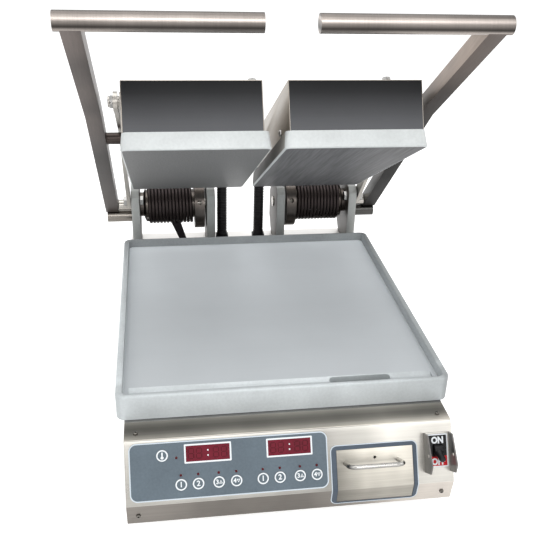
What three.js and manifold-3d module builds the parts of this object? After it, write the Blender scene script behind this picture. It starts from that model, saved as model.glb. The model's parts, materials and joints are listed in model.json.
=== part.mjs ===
// A two-sided contact grill: one griddle plate on a sheet metal base, with two cast platens that
// swing down on it. Each platen hangs on a handle arm, is kept level by a link, and is
// counterbalanced by a torsion spring. Millimetres, +Z up, and the front faces -Y. Inside the
// rig, y = 0 is the front face of the griddle plate and z = 0 is the worktop.
import * as THREE from 'three';
import { mergeVertices } from 'three/addons/utils/BufferGeometryUtils.js';
import Module from 'manifold-3d';

const wasm = await Module();
wasm.setup();

// Clearances and sheet
const fit = 0.3;        // between pieces that touch, or that a weld or a screw holds together
const slip = 0.5;       // round pieces that slide or turn
const sheet = 1.5;      // stainless sheet of the base, the front panel, the drawer and the hoods
const overrun = 4;      // how far a cutting shape runs past the face that it cuts

// Base
const base = {
  width: 355, height: 85, back: 488, ledgeBack: -4, ledgeFront: -35.3,
  slopeRun: 34.5, slopeDrop: 58.1, lipReturn: 3.8,
  panWeb: 1.5, foot: 25, footTop: 19, footBottom: 16, footInset: 38, footFront: 20,
  windowTop: 5, windowBottom: 30,
};

// Griddle plate
const griddle = {
  width: 372, depth: 402, height: 31, sideWall: 7.3, backWall: 4.8, frontWall: 4.2,
  floorDrop: 11.7, web: 12, troughBack: 32.5, troughRamp: 6, troughDrop: 3,
  corner: 10, trayCorner: 6, skirtWall: 8,
  slotInLeft: 5.9, slotInRight: 8.1, slotFront: 18.2, slotBack: 31.5, slotCorner: 4,
};
const chute = { wall: 1.5, length: 31 };
const element = { radius: 4, runs: 4, width: 260, frontY: 90, backY: 330, bend: 16 };

// Control panel, measured from the panel's left edge and down the slope from the top bend
const overlay = { inset: 4.5, width: 210, top: 3.2, bottom: 63.6, corner: 8, thick: 1.2 };
const display = { width: 49.5, height: 20, row: 17, margin: 3, columns: [86.5, 173.3] };
const keypad = {
  radius: 6, thick: 1.1, proud: 0.4, row: 48.5, columns: [57.5, 75.5, 97, 115.5],
  rightColumns: [143.7, 161.9, 183.6, 201.9], heatColumn: 38.9, heatRow: 17.2,
};
const lamp = { radius: 1.3, row: 38.7, heatColumn: 53.5, heatRow: 20.3, proud: 0.1, sides: 8 };
const board = { inset: 21.5, width: 186, top: 7, bottom: 60, thick: 2, setBack: 14, post: 3 };
const screw = {
  head: 3.1, headHigh: 1.8, shank: 1.5, length: 9, inset: 12, ledgeInset: 11.8, lipRow: 15.3,
};

// Grease drawer, measured from the panel's right edge
const drawer = {
  inset: 45.4, width: 85.6, top: 24.9, lipBottom: 19.2, boxInset: 3.4, boxHigh: 40,
  boxFloor: 11, back: 185, holeRow: 35.2, holeRadius: 1.6,
};
const pull = { aside: 3.8, spread: 59, out: 27, wire: 2.4, row: 39.6, bend: 9 };
const runner = { flange: 6, high: 24, front: -36 };

// Power switch, measured from the panel's right edge
const toggle = {
  inset: 6.3, plateWide: 23, plateTop: 14.6, plateBottom: 50.6, plateThick: 1.2,
  pivotOut: 3, hub: 6, hubWidth: 10, bat: 18, batWide: 9, batThick: 7, restTilt: 28,
  bodyDeep: 24, bodyHigh: 28, bodyWide: 14,
};
const guard = {
  wall: 1.6, aside: 1.6, web: 1, top: 13, bottom: 56, taper: 1, topOut: 13, peakRow: 46,
  peakOut: 24, lowOut: 18, hole: 1.8, holeRow: 36, holeOut: 15,
};

// Ears, which carry the hinges
const ear = {
  thick: 12.7, outer: 161, inner: 47.8, front: 425, back: 506, foot: 483, vertex: 23,
  high: 95, shoulder: 8, crown: 30, base: 6, baseFront: 412,
};

// Main hinge, and its shaft, bearings, collar and spring
const hinge = { y: 462, height: 62 };
const shaft = { radius: 8, start: 45.5 };
const hub = { bearing: 13, neck: 18.5, neckLong: 5, flare: 27, spigot: 22, spigotLong: 12 };
const collar = {
  near: 63.6, far: 78.4, radius: 38.5, spigot: 22, spigotLong: 13, keyHole: 3.5, keyTilt: 22,
};
const spring = { radius: 27.7, wire: 2.3, near: 80, far: 152, turns: 13, tail: 4.8, lug: 6 };
const peg = { radius: 9.3, end: 212, behind: 5, drop: 10.8 };
const stay = { wide: 10, deep: 6, topX: -106, footX: -95, y: 452, seat: 30 };

// Handle arm and bar
const arm = {
  square: 19, near: 194.5, lower: 300, lowerRise: 44, upper: 225, upperRise: 36, pivot: 226,
  stud: 7.5,
};
const bar = { radius: 9.5, near: 26.5, far: 219.4 };

// Levelling link
const link = {
  thick: 5, gap: 1, wide: 18, eye: 10, topEye: 12, bow: 20, bowShare: 0.7,
  boltForward: 23, boltUp: 15, bolt: 4.5, hex: 7.8, hexThick: 5, play: 1.2,
};

// Platen and its hood, placed from the pivot on the arm
const platen = {
  near: 7, far: 170, ahead: 179, behind: 155.5, below: 46.7, thick: 20, draft: 2, tilt: 28,
  terminal: 4, terminalHigh: 14, terminalGap: 40,
};
const hood = {
  near: 14, far: 167.5, ahead: 171, behind: 135.5, above: 30.3, gland: 10, glandLong: 3,
  glandUp: 2,
};
const bracket = {
  thick: 4.8, lobe: 16, linkAhead: 83.4, linkUp: 27.24, linkLobe: 11, stud: 6.5, studEnd: 186,
  footAhead: 52, footBehind: 36,
};

// Flexible conduits
const conduit = {
  radius: 8, valley: 6.9, bore: 5.5, ribPitch: 4.4, y: 457, leftX: -35, rightX: 23,
  bend: 37.5, split: 208, glandHigh: 9.7, glandRadius: 11, glandTail: 10,
};
const inlet = { inset: 57.5, z: 60, radius: 10, flange: 14, long: 12, flangeThick: 3 };

// Sides of round pieces
const fine = 32;
const round = 20;
const coarse = 12;

// Levels and bends that follow from the sizes above
const deckZ = base.foot + base.height;
const rimZ = deckZ + griddle.height;
const floorZ = rimZ - griddle.floorDrop;
const halfBase = base.width / 2;
const innerHalf = halfBase - sheet;
const slopeLength = Math.hypot(base.slopeRun, base.slopeDrop);
const slopeAngle = Math.atan2(base.slopeDrop, base.slopeRun);
const lipDrop = base.height - base.slopeDrop;
const lipAngle = Math.atan2(lipDrop, -base.lipReturn);
const topBend = [base.ledgeFront, deckZ];
const lowBend = [topBend[0] - base.slopeRun, deckZ - base.slopeDrop];
const lipEnd = [lowBend[0] + base.lipReturn, base.foot];
const pivotZ = deckZ + hinge.height;
const turn = (degrees) => THREE.MathUtils.degToRad(degrees);

// Finishes
const finish = (color, roughness, metalness) =>
  new THREE.MeshStandardMaterial({ color, roughness, metalness });
const stainless = finish(0xb4aa9c, 0.35, 0.9);
const steel = finish(0x8f8a84, 0.4, 0.9);
const castPlate = finish(0xbcc1c4, 0.6, 0.4);
const castGrey = finish(0x8a8d90, 0.6, 0.4);
const hoodSteel = finish(0x4c4c4e, 0.4, 0.8);
const blackSteel = finish(0x2a2526, 0.5, 0.6);
const rubber = finish(0x17171a, 0.8, 0);
const overlayBlue = finish(0x6c7a85, 0.6, 0);
const keyBlue = finish(0x74828d, 0.6, 0);
const boardGreen = finish(0x2e5a3c, 0.7, 0);
const blackPlastic = finish(0x141416, 0.5, 0);
const bronze = finish(0x9a7b4f, 0.4, 0.8);
const heater = finish(0x3c3a38, 0.5, 0.6);

// Solids
function solidOf(geometry) {
  const plain = geometry.clone();
  plain.deleteAttribute('normal');
  plain.deleteAttribute('uv');
  const merged = mergeVertices(plain);
  return new wasm.Manifold(new wasm.Mesh({
    numProp: 3,
    vertProperties: new Float32Array(merged.attributes.position.array),
    triVerts: new Uint32Array(merged.index.array),
  }));
}

function geometryOf(solid) {
  const mesh = solid.getMesh();
  const geometry = new THREE.BufferGeometry();
  geometry.setAttribute('position', new THREE.BufferAttribute(mesh.vertProperties, mesh.numProp));
  geometry.setIndex(new THREE.BufferAttribute(mesh.triVerts, 1));
  return geometry;
}

const join = (...solids) => solids.reduce((sum, solid) => sum.add(solid));
const cut = (solid, ...tools) => tools.reduce((rest, tool) => rest.subtract(tool), solid);
const middle = ([low, high]) => (low + high) / 2;
const size = ([low, high]) => high - low;

// A span across the grill from near to far of its middle, on the left (-1) or the right (1)
const across = (side, near, far) => (side > 0 ? [near, far] : [-far, -near]);

function block(x, y, z) {
  const box = new THREE.BoxGeometry(size(x), size(y), size(z));
  return solidOf(box.translate(middle(x), middle(y), middle(z)));
}

// A cylinder or cone along an axis, round a centre given in the other two coordinates
function rod(axis, radius, span, [a, b], sides = round, endRadius = radius) {
  const body = new THREE.CylinderGeometry(endRadius, radius, size(span), sides);
  if (axis === 'x') body.rotateZ(-Math.PI / 2).translate(middle(span), a, b);
  if (axis === 'y') body.translate(a, middle(span), b);
  if (axis === 'z') body.rotateX(Math.PI / 2).translate(a, b, middle(span));
  return solidOf(body);
}

const flat = (points) => new THREE.Shape(points.map(([a, b]) => new THREE.Vector2(a, b)));

// An outline in (y, z), extruded across the grill
function slab(outline, x) {
  const body = new THREE.ExtrudeGeometry(flat(outline), { depth: size(x), bevelEnabled: false });
  const turned = new THREE.Matrix4().makeBasis(
    new THREE.Vector3(0, 1, 0), new THREE.Vector3(0, 0, 1), new THREE.Vector3(1, 0, 0));
  return solidOf(body.applyMatrix4(turned).translate(x[0], 0, 0));
}

// An outline in (x, y), extruded upwards
function plate(outline, z) {
  const body = new THREE.ExtrudeGeometry(flat(outline), { depth: size(z), bevelEnabled: false });
  return solidOf(body.translate(0, 0, z[0]));
}

// The points of a rectangle with round corners
function rounded([x0, x1], [y0, y1], radius, steps = 4) {
  const points = [];
  const corners = [[x1, y0, -1, 1], [x1, y1, -1, -1], [x0, y1, 1, -1], [x0, y0, 1, 1]];
  corners.forEach(([x, y, sx, sy], k) => {
    for (let i = 0; i <= steps; i++) {
      const angle = (k - 1 + i / steps) * Math.PI / 2;
      points.push([x + sx * radius + radius * Math.cos(angle),
        y + sy * radius + radius * Math.sin(angle)]);
    }
  });
  return points;
}

// An open path moved sideways, to its left, with mitred corners
function beside(path, distance) {
  const ways = path.slice(1).map((p, i) => {
    const run = [p[0] - path[i][0], p[1] - path[i][1]];
    const length = Math.hypot(...run);
    return [run[0] / length, run[1] / length];
  });
  return path.map((p, i) => {
    const before = ways[Math.max(i - 1, 0)];
    const after = ways[Math.min(i, ways.length - 1)];
    const mitre = [-(before[1] + after[1]), before[0] + after[0]];
    const reach = distance / (1 + before[0] * after[0] + before[1] * after[1]);
    return [p[0] + mitre[0] * reach, p[1] + mitre[1] * reach];
  });
}

// A bar with round ends from one point to another, in (y, z)
function barBetween(from, to, fromRadius, toRadius, halfWide, x, sides = round) {
  const way = Math.atan2(to[1] - from[1], to[0] - from[0]);
  const sideways = [-Math.sin(way) * halfWide, Math.cos(way) * halfWide];
  const outline = [
    [from[0] - sideways[0], from[1] - sideways[1]], [to[0] - sideways[0], to[1] - sideways[1]],
    [to[0] + sideways[0], to[1] + sideways[1]], [from[0] + sideways[0], from[1] + sideways[1]],
  ];
  return join(slab(outline, x), rod('x', fromRadius, x, from, sides),
    rod('x', toRadius, x, to, sides));
}

// A round tube along lines that quadratic bends join
function tubeAlong(corners, bend, radius, steps, sides) {
  const path = new THREE.CurvePath();
  const at = corners.map((p) => new THREE.Vector3(...p));
  let from = at[0];
  for (let i = 1; i < at.length - 1; i++) {
    const into = at[i].clone().sub(at[i - 1]).normalize();
    const out = at[i + 1].clone().sub(at[i]).normalize();
    const start = at[i].clone().addScaledVector(into, -bend);
    const end = at[i].clone().addScaledVector(out, bend);
    path.add(new THREE.LineCurve3(from, start));
    path.add(new THREE.QuadraticBezierCurve3(start, at[i], end));
    from = end;
  }
  path.add(new THREE.LineCurve3(from, at[at.length - 1]));
  const ring = new THREE.Shape();
  for (let i = 0; i < sides; i++) {
    const angle = i / sides * 2 * Math.PI;
    const [a, b] = [radius * Math.cos(angle), radius * Math.sin(angle)];
    if (i === 0) ring.moveTo(a, b);
    else ring.lineTo(a, b);
  }
  return solidOf(new THREE.ExtrudeGeometry(ring, { steps, extrudePath: path }));
}

// A closed skin over rows of points: each row is a ring, and the last joins the first if hollow
function skin(rings, hollow) {
  const count = rings[0].length;
  const points = rings.flat();
  const faces = [];
  const rows = hollow ? rings.length : rings.length - 1;
  for (let r = 0; r < rows; r++) {
    const next = (r + 1) % rings.length;
    for (let i = 0; i < count; i++) {
      const j = (i + 1) % count;
      faces.push([r * count + i, next * count + i, next * count + j]);
      faces.push([r * count + i, next * count + j, r * count + j]);
    }
  }
  if (!hollow) {
    const last = (rings.length - 1) * count;
    for (let i = 1; i < count - 1; i++) {
      faces.push([0, i, i + 1]);
      faces.push([last, last + i + 1, last + i]);
    }
  }
  const volume = faces.reduce((sum, [a, b, c]) =>
    sum + points[a].dot(points[b].clone().cross(points[c])), 0);
  const index = faces.flatMap(([a, b, c]) => (volume > 0 ? [a, b, c] : [a, c, b]));
  const geometry = new THREE.BufferGeometry().setFromPoints(points);
  return geometry.setIndex(index);
}

// Scene graph
const grill = new THREE.Group();
const rig = new THREE.Group();
grill.add(rig);

function frameAt(parent, y, z, angle) {
  const frame = new THREE.Group();
  frame.position.set(0, y, z);
  frame.rotation.x = angle;
  parent.add(frame);
  return frame;
}

function piece(parent, name, shape, material) {
  const geometry = shape.isBufferGeometry ? shape : geometryOf(shape);
  const mesh = new THREE.Mesh(geometry, material);
  mesh.name = name;
  parent.add(mesh);
}

// In this frame y runs up the sloped panel from its top bend, and z stands out of it
const slope = frameAt(rig, topBend[0], topBend[1], slopeAngle);
// The same for the lip below, from the lower bend
const lip = frameAt(rig, lowBend[0], lowBend[1], lipAngle);
slope.updateMatrix();
lip.updateMatrix();
const inSlope = (solid) => solid.transform([...slope.matrix.elements]);
const down = (from, to) => [-to, -from];

// The front's profile, from the back of the ledge to the end of the lip
const frontLine = [[base.ledgeBack, deckZ], topBend, lowBend, lipEnd];

// A closed outline of a bent sheet: the front's profile and the same profile further in
function bentSheet(outside, inside) {
  return [...beside(frontLine, outside), ...beside(frontLine, inside).reverse()];
}

const drawerX = [halfBase - drawer.inset - drawer.width, halfBase - drawer.inset];
const drawerZ = [lowBend[1] - drawer.lipBottom, topBend[1] - drawer.top * Math.sin(slopeAngle)];
const frontY = [lowBend[0] - overrun, base.ledgeBack];
const earSpans = [[-1, ear.outer], [-1, ear.inner], [1, ear.inner], [1, ear.outer]];
const conduits = [[-1, conduit.leftX], [1, conduit.rightX]];
const slotX = [drawerX[0] + griddle.slotInLeft, drawerX[1] - griddle.slotInRight];
const slotY = [griddle.slotFront, griddle.slotBack];
const grown = ([low, high], by) => [low - by, high + by];

// Layout of the control panel
const onPanel = (distance) => distance - halfBase;
const leds = [...keypad.columns, ...keypad.rightColumns].map((at) => [onPanel(at), lamp.row]);
leds.push([onPanel(lamp.heatColumn), lamp.heatRow]);
const keySpots = [];
keypad.columns.forEach((at, i) =>
  keySpots.push([`left_key_${i + 1}`, onPanel(at), keypad.row]));
keypad.rightColumns.forEach((at, i) =>
  keySpots.push([`right_key_${i + 1}`, onPanel(at), keypad.row]));
keySpots.push(['temperature_key', onPanel(keypad.heatColumn), keypad.heatRow]);
const overlayZ = [fit, fit + overlay.thick];
const displaySpan = (at, by) => [grown([onPanel(at), onPanel(at)],
  display.width / 2 - display.margin + by),
  grown([-display.row, -display.row], display.height / 2 - display.margin + by)];

// The holes of the four screws that hold the front panel
const screwX = halfBase - screw.inset;
const screwY = base.ledgeFront + screw.ledgeInset;
function screwHoles() {
  const hole = [-screw.length, overrun];
  return [-1, 1].flatMap((side) => [
    rod('z', screw.shank + fit, hole.map((z) => deckZ + z), [side * screwX, screwY], coarse),
    rod('z', screw.shank + fit, hole, [side * screwX, -screw.lipRow], coarse)
      .transform([...lip.matrix.elements]),
  ]);
}

// Base
const shellStep = base.ledgeBack + fit;
function shellOutline(inset) {
  const line = [[shellStep, deckZ], topBend, lowBend, lipEnd];
  const front = beside(line, sheet + fit + inset).reverse();
  const bottom = base.foot - (inset ? overrun : 0);
  const step = shellStep + inset;
  front[0][1] = bottom;
  front[front.length - 1][0] = step;
  return [...front, [step, deckZ - inset], [base.back - inset, deckZ - inset],
    [base.back - inset, bottom]];
}

function baseShell() {
  let shell = slab(shellOutline(0), [-halfBase, halfBase]);
  shell = cut(shell, slab(shellOutline(sheet), [-innerHalf, innerHalf]));
  const windowZ = [base.foot + base.windowBottom, deckZ - base.windowTop];
  shell = cut(shell, block([-innerHalf, innerHalf], [frontY[0], base.ledgeFront], windowZ));
  shell = cut(shell, block(grown(drawerX, slip), [frontY[0], base.ledgeFront],
    [drawerZ[0] - slip, windowZ[1]]));
  const deck = [deckZ - sheet - overrun, deckZ + overrun];
  const elementX = element.width / 2 + element.bend;
  const elementY = [element.frontY - element.bend, element.backY + element.bend];
  shell = cut(shell, block([-elementX, elementX], elementY, deck));
  for (const [side, near] of earSpans) {
    const x = across(side, near - fit, near + ear.thick + fit);
    shell = cut(shell, block(x, [ear.front - fit, ear.foot + fit], deck));
  }
  for (const [, x] of conduits) {
    shell = cut(shell, rod('z', conduit.valley + fit, deck, [x, conduit.y], coarse));
  }
  shell = cut(shell, ...screwHoles());
  const backWall = [base.back - sheet - overrun, base.back + overrun];
  shell = cut(shell, rod('y', inlet.radius + fit, backWall, [inlet.inset - halfBase, inlet.z], round));
  const top = floorZ - griddle.web - fit;
  const spoutZ = [top - chute.length, top];
  const spout = block(grown(slotX, chute.wall), grown(slotY, chute.wall), spoutZ);
  return cut(join(shell, spout), block(slotX, slotY, grown(spoutZ, overrun)));
}

piece(rig, 'base_shell', baseShell(), stainless);

function frontPanel() {
  let panel = slab(bentSheet(0, sheet), [-halfBase, halfBase]);
  panel = cut(panel, block(drawerX, frontY, drawerZ));
  const through = [-sheet - overrun, overrun];
  for (const x of display.columns) {
    panel = cut(panel, inSlope(block(...displaySpan(x, slip), through)));
  }
  for (const [x, row] of leds) {
    panel = cut(panel, inSlope(rod('z', lamp.radius + slip, through, [x, -row], lamp.sides)));
  }
  panel = cut(panel, inSlope(switchSpan(toggle.bodyWide / 2 + fit, toggle.bodyHigh / 2 + fit, through)));
  return cut(panel, ...screwHoles());
}

// A block round the middle of the power switch
const plateX = [halfBase - toggle.inset - toggle.plateWide, halfBase - toggle.inset];
const switchX = middle(plateX);
const switchRow = (toggle.plateTop + toggle.plateBottom) / 2;
function switchSpan(halfWide, halfHigh, z) {
  return block(grown([switchX, switchX], halfWide), grown([-switchRow, -switchRow], halfHigh), z);
}
piece(rig, 'front_panel', frontPanel(), stainless);

const panZ = [base.foot, base.foot + base.panWeb];
const panFront = lipEnd[0] + 2 * (sheet + fit) + base.lipReturn;
const panX = [-innerHalf + fit, innerHalf - fit];
piece(rig, 'bottom_pan', block(panX, [panFront, base.back - sheet - fit], panZ), stainless);
for (const side of [-1, 1]) {
  const name = side < 0 ? 'left' : 'right';
  const x = side * (halfBase - base.footInset);
  const z = [0, base.foot - fit];
  piece(rig, `${name}_front_foot`,
    rod('z', base.footBottom, z, [x, base.footFront], round, base.footTop), rubber);
  piece(rig, `${name}_back_foot`,
    rod('z', base.footBottom, z, [x, base.back - base.footInset], round, base.footTop), rubber);
}

function griddlePlate() {
  const half = griddle.width / 2;
  const outer = rounded([-half, half], [0, griddle.depth], griddle.corner);
  let body = plate(outer, [deckZ + fit, rimZ]);
  const trayX = half - griddle.sideWall;
  const tray = rounded([-trayX, trayX], [griddle.frontWall, griddle.depth - griddle.backWall],
    griddle.trayCorner);
  body = cut(body, plate(tray, [floorZ, rimZ + overrun]));
  const trough = [
    [griddle.frontWall, floorZ - griddle.troughDrop],
    [griddle.troughBack - griddle.troughRamp, floorZ - griddle.troughDrop],
    [griddle.troughBack, floorZ], [griddle.troughBack, floorZ + overrun],
    [griddle.frontWall, floorZ + overrun],
  ];
  const troughX = trayX - griddle.trayCorner;
  body = cut(body, slab(trough, [-troughX, troughX]));
  const under = floorZ - griddle.web;
  const pocketX = half - griddle.sideWall;
  body = cut(body, block([-pocketX, pocketX],
    [griddle.skirtWall, griddle.depth - griddle.skirtWall], [deckZ - overrun, under]));
  const slot = rounded(slotX, slotY, griddle.slotCorner, 3);
  return cut(body, plate(slot, [under - overrun, floorZ + overrun]));
}
piece(rig, 'griddle_plate', griddlePlate(), castPlate);

// A heating element laid to and fro in a plane
function elementCoil(width, front, back, z, centre) {
  const corners = [];
  for (let i = 0; i < element.runs; i++) {
    const x = centre - width / 2 + width * i / (element.runs - 1);
    const ends = i % 2 ? [back, front] : [front, back];
    corners.push([x, ends[0], z], [x, ends[1], z]);
  }
  return tubeAlong(corners, element.bend, element.radius, 60, 8);
}
piece(rig, 'lower_element', elementCoil(element.width, element.frontY, element.backY,
  floorZ - griddle.web - fit - element.radius, 0), heater);

// Grease drawer and its runners
const boxX = grown(drawerX, -drawer.boxInset);
const boxZ = [base.foot + drawer.boxFloor, base.foot + drawer.boxFloor + drawer.boxHigh];
function greaseDrawer() {
  const gap = slip / 2;
  const face = slab(bentSheet(0, sheet), grown(drawerX, -gap))
    .intersect(block(grown(drawerX, -gap), frontY, grown(drawerZ, -gap)));
  const line = beside(frontLine, sheet / 2);
  const front = [line[1], line[2], line[3]];
  const box = slab([...front, [drawer.back, base.foot], [drawer.back, deckZ]], boxX)
    .intersect(block(boxX, [frontY[0], drawer.back], boxZ));
  const inside = beside(frontLine, sheet + sheet / 2);
  const hollow = slab([inside[1], inside[2], inside[3], [drawer.back - sheet, base.foot],
    [drawer.back - sheet, deckZ]], grown(boxX, -sheet))
    .intersect(block(boxX, [frontY[0], drawer.back], [boxZ[0] + sheet, deckZ]));
  const peephole = inSlope(rod('z', drawer.holeRadius, [-sheet - overrun, overrun],
    [middle(drawerX), -drawer.holeRow], coarse));
  return cut(join(face, box), hollow, peephole);
}
piece(rig, 'grease_drawer', greaseDrawer(), stainless);

function drawerPull() {
  const [left, right] = grown([middle(drawerX), middle(drawerX)], pull.spread / 2)
    .map((x) => x - pull.aside);
  return tubeAlong([[left, -pull.row, fit], [left, -pull.row, pull.out],
    [right, -pull.row, pull.out], [right, -pull.row, fit]], pull.bend, pull.wire, 36, 8);
}
piece(slope, 'drawer_handle', drawerPull(), steel);

function drawerRunner() {
  const y = [runner.front, drawer.back];
  const flangeZ = [boxZ[0] - fit - sheet, boxZ[0] - fit];
  const webZ = [panZ[1] + fit, panZ[1] + runner.high];
  const leftWeb = [boxX[0] - fit - sheet, boxX[0] - fit];
  const rightWeb = [boxX[1] + fit, boxX[1] + fit + sheet];
  return join(block(leftWeb, y, webZ), block(rightWeb, y, webZ),
    block([leftWeb[0], rightWeb[1]], y, [webZ[0], webZ[0] + sheet]),
    block([leftWeb[0], boxX[0] + runner.flange], y, flangeZ),
    block([boxX[1] - runner.flange, rightWeb[1]], y, flangeZ));
}
piece(rig, 'drawer_runner', drawerRunner(), stainless);

// Control panel
function controlOverlay() {
  const x = [onPanel(overlay.inset), onPanel(overlay.inset + overlay.width)];
  const outline = rounded(x, down(overlay.top, overlay.bottom), overlay.corner);
  let film = plate(outline, overlayZ);
  const through = grown(overlayZ, overrun);
  for (const [, column, row] of keySpots) {
    film = cut(film, rod('z', keypad.radius + fit, through, [column, -row], round));
  }
  for (const [column, row] of leds) {
    film = cut(film, rod('z', lamp.radius + fit, through, [column, -row], lamp.sides));
  }
  return film;
}

piece(slope, 'control_overlay', controlOverlay(), overlayBlue);

for (const [name, x, row] of keySpots) {
  const z = [overlayZ[1] + keypad.proud - keypad.thick, overlayZ[1] + keypad.proud];
  piece(slope, name, rod('z', keypad.radius, z, [x, -row], round), keyBlue);
}

function controlBoard() {
  const x = [onPanel(board.inset), onPanel(board.inset + board.width)];
  const y = down(board.top, board.bottom);
  const z = [-board.setBack - board.thick, -board.setBack];
  const parts = [block(x, y, z)];
  for (const px of grown(x, -2 * board.post)) {
    for (const py of grown(y, -2 * board.post)) {
      parts.push(rod('z', board.post, [z[0], -sheet - fit], [px, py], coarse));
    }
  }
  for (const column of display.columns) {
    parts.push(block(...displaySpan(column, 0), [z[0], 0]));
  }
  for (const [column, row] of leds) {
    parts.push(rod('z', lamp.radius, [z[0], overlayZ[1] + lamp.proud], [column, -row], lamp.sides));
  }
  return join(...parts);
}
piece(slope, 'control_board', controlBoard(), boardGreen);

// Power switch: its name plate and its body are one moulding
const plateZ = [guard.web + 2 * fit, guard.web + 2 * fit + toggle.plateThick];
function powerSwitch() {
  const bodyTop = toggle.pivotOut - toggle.hub - slip;
  const bodyZ = [bodyTop - toggle.bodyDeep, plateZ[0] + fit];
  const body = join(block(plateX, down(toggle.plateTop, toggle.plateBottom), plateZ),
    switchSpan(toggle.bodyWide / 2, toggle.bodyHigh / 2, bodyZ));
  return cut(body, switchSpan(toggle.hubWidth / 2 + slip, toggle.bodyHigh / 2 - sheet,
    [bodyTop, plateZ[0]]),
  switchSpan(toggle.hubWidth / 2 + slip, toggle.hub + slip, [bodyTop, plateZ[1] + overrun]));
}
piece(slope, 'power_switch', powerSwitch(), blackPlastic);

const lever = frameAt(slope, -switchRow, toggle.pivotOut, turn(toggle.restTilt));
function switchLever() {
  const x = grown([switchX, switchX], toggle.hubWidth / 2);
  const batX = grown([switchX, switchX], toggle.batWide / 2);
  const half = toggle.batThick / 2;
  return join(rod('x', toggle.hub, x, [0, 0], round),
    block(batX, [-half, half], [0, toggle.bat - half]),
    rod('x', half, batX, [0, toggle.bat - half], round));
}
piece(lever, 'switch_lever', switchLever(), blackPlastic);

// The guard is one folded strip: an ear on each side of the switch, and a web under its plate
function switchGuard() {
  const webTop = fit + guard.web;
  const outline = [[-guard.bottom, fit], [-guard.top, fit],
    [-guard.top - guard.taper, guard.topOut], [-guard.peakRow, guard.peakOut],
    [-guard.bottom + guard.taper, guard.lowOut]];
  const left = [plateX[0] - guard.aside - guard.wall, plateX[0] - guard.aside];
  const right = [plateX[1] + guard.aside, plateX[1] + guard.aside + guard.wall];
  const web = cut(block([left[0], right[1]], down(guard.top, guard.bottom), [fit, webTop]),
    switchSpan(toggle.bodyWide / 2 + fit, toggle.bodyHigh / 2 + fit, [0, webTop + overrun]));
  return cut(join(slab(outline, left), slab(outline, right), web),
    rod('x', guard.hole, [left[0] - overrun, right[1] + overrun],
      [-guard.holeRow, guard.holeOut], coarse));
}
piece(slope, 'switch_guard', switchGuard(), steel);

// Screws of the front panel: two down through the ledge, and two in through the lip
function panelScrew(spot) {
  return join(rod('z', screw.head, [fit, fit + screw.headHigh], spot, coarse),
    rod('z', screw.shank, [-screw.length, fit + screw.headHigh], spot, coarse));
}
for (const side of [-1, 1]) {
  const name = side < 0 ? 'left' : 'right';
  const ledgeScrew = panelScrew([side * screwX, screwY]);
  piece(rig, `${name}_ledge_screw`, ledgeScrew.translate(0, 0, deckZ), steel);
  piece(lip, `${name}_lip_screw`, panelScrew([side * screwX, -screw.lipRow]), steel);
}

// Hinge brackets: two ears that stand up through the deck from a base below it, and the peg
// that stops the arm
const earFoot = deckZ - sheet - fit - ear.base;
const earTop = deckZ + ear.high;
const earFace = ear.outer + ear.thick;
const earOutline = [
  [ear.foot, earFoot], [ear.foot, deckZ], [ear.back, deckZ + ear.vertex],
  [ear.back, earTop - ear.crown], [ear.back - ear.crown, earTop],
  [ear.front + ear.shoulder, earTop], [ear.front, earTop - ear.shoulder], [ear.front, earFoot],
];
const boltSpot = [hinge.y - link.boltForward, pivotZ + link.boltUp];
const pivotSpot = [hinge.y, pivotZ];
const pegSpot = [hinge.y + peg.behind, pivotZ - peg.drop - fit - peg.radius];
function hingeBracket(side) {
  const outer = across(side, ear.outer, earFace);
  const inner = across(side, ear.inner, ear.inner + ear.thick);
  return cut(join(
    slab(earOutline, outer), slab(earOutline, inner),
    block(across(side, ear.inner, earFace), [ear.baseFront, ear.foot], [earFoot, earFoot + ear.base]),
    rod('x', peg.radius, across(side, earFace - fit, peg.end), pegSpot, round)),
  rod('x', hub.bearing + fit, grown(outer, fit), pivotSpot, fine),
  rod('x', shaft.radius + fit, grown(inner, fit), pivotSpot, round),
  rod('x', link.bolt + fit, grown(outer, fit), boltSpot, coarse));
}

function linkBolt(side) {
  const linkFace = earFace + link.gap + link.thick;
  const nut = across(side, ear.outer - fit - link.hexThick, ear.outer - fit);
  const head = across(side, linkFace + fit, linkFace + fit + link.hexThick);
  const shank = across(side, ear.outer - fit - link.hexThick, linkFace + fit + link.hexThick);
  return join(rod('x', link.hex, nut, boltSpot, 6), rod('x', link.hex, head, boltSpot, 6),
    rod('x', link.bolt, shank, boltSpot, coarse));
}

// A lug that a spring's tail bears on, in a plane square to the tail
function springLug(x, angle, way) {
  const tailEnd = spring.tail + fit;
  const y = way > 0 ? [tailEnd, tailEnd + spring.lug] : [-tailEnd - spring.lug, -tailEnd];
  const lug = block(x, y, [hub.spigot - spring.lug, spring.radius + spring.wire]);
  const place = new THREE.Matrix4().makeTranslation(0, ...pivotSpot)
    .multiply(new THREE.Matrix4().makeRotationX(angle));
  return lug.transform([...place.elements]);
}

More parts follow.
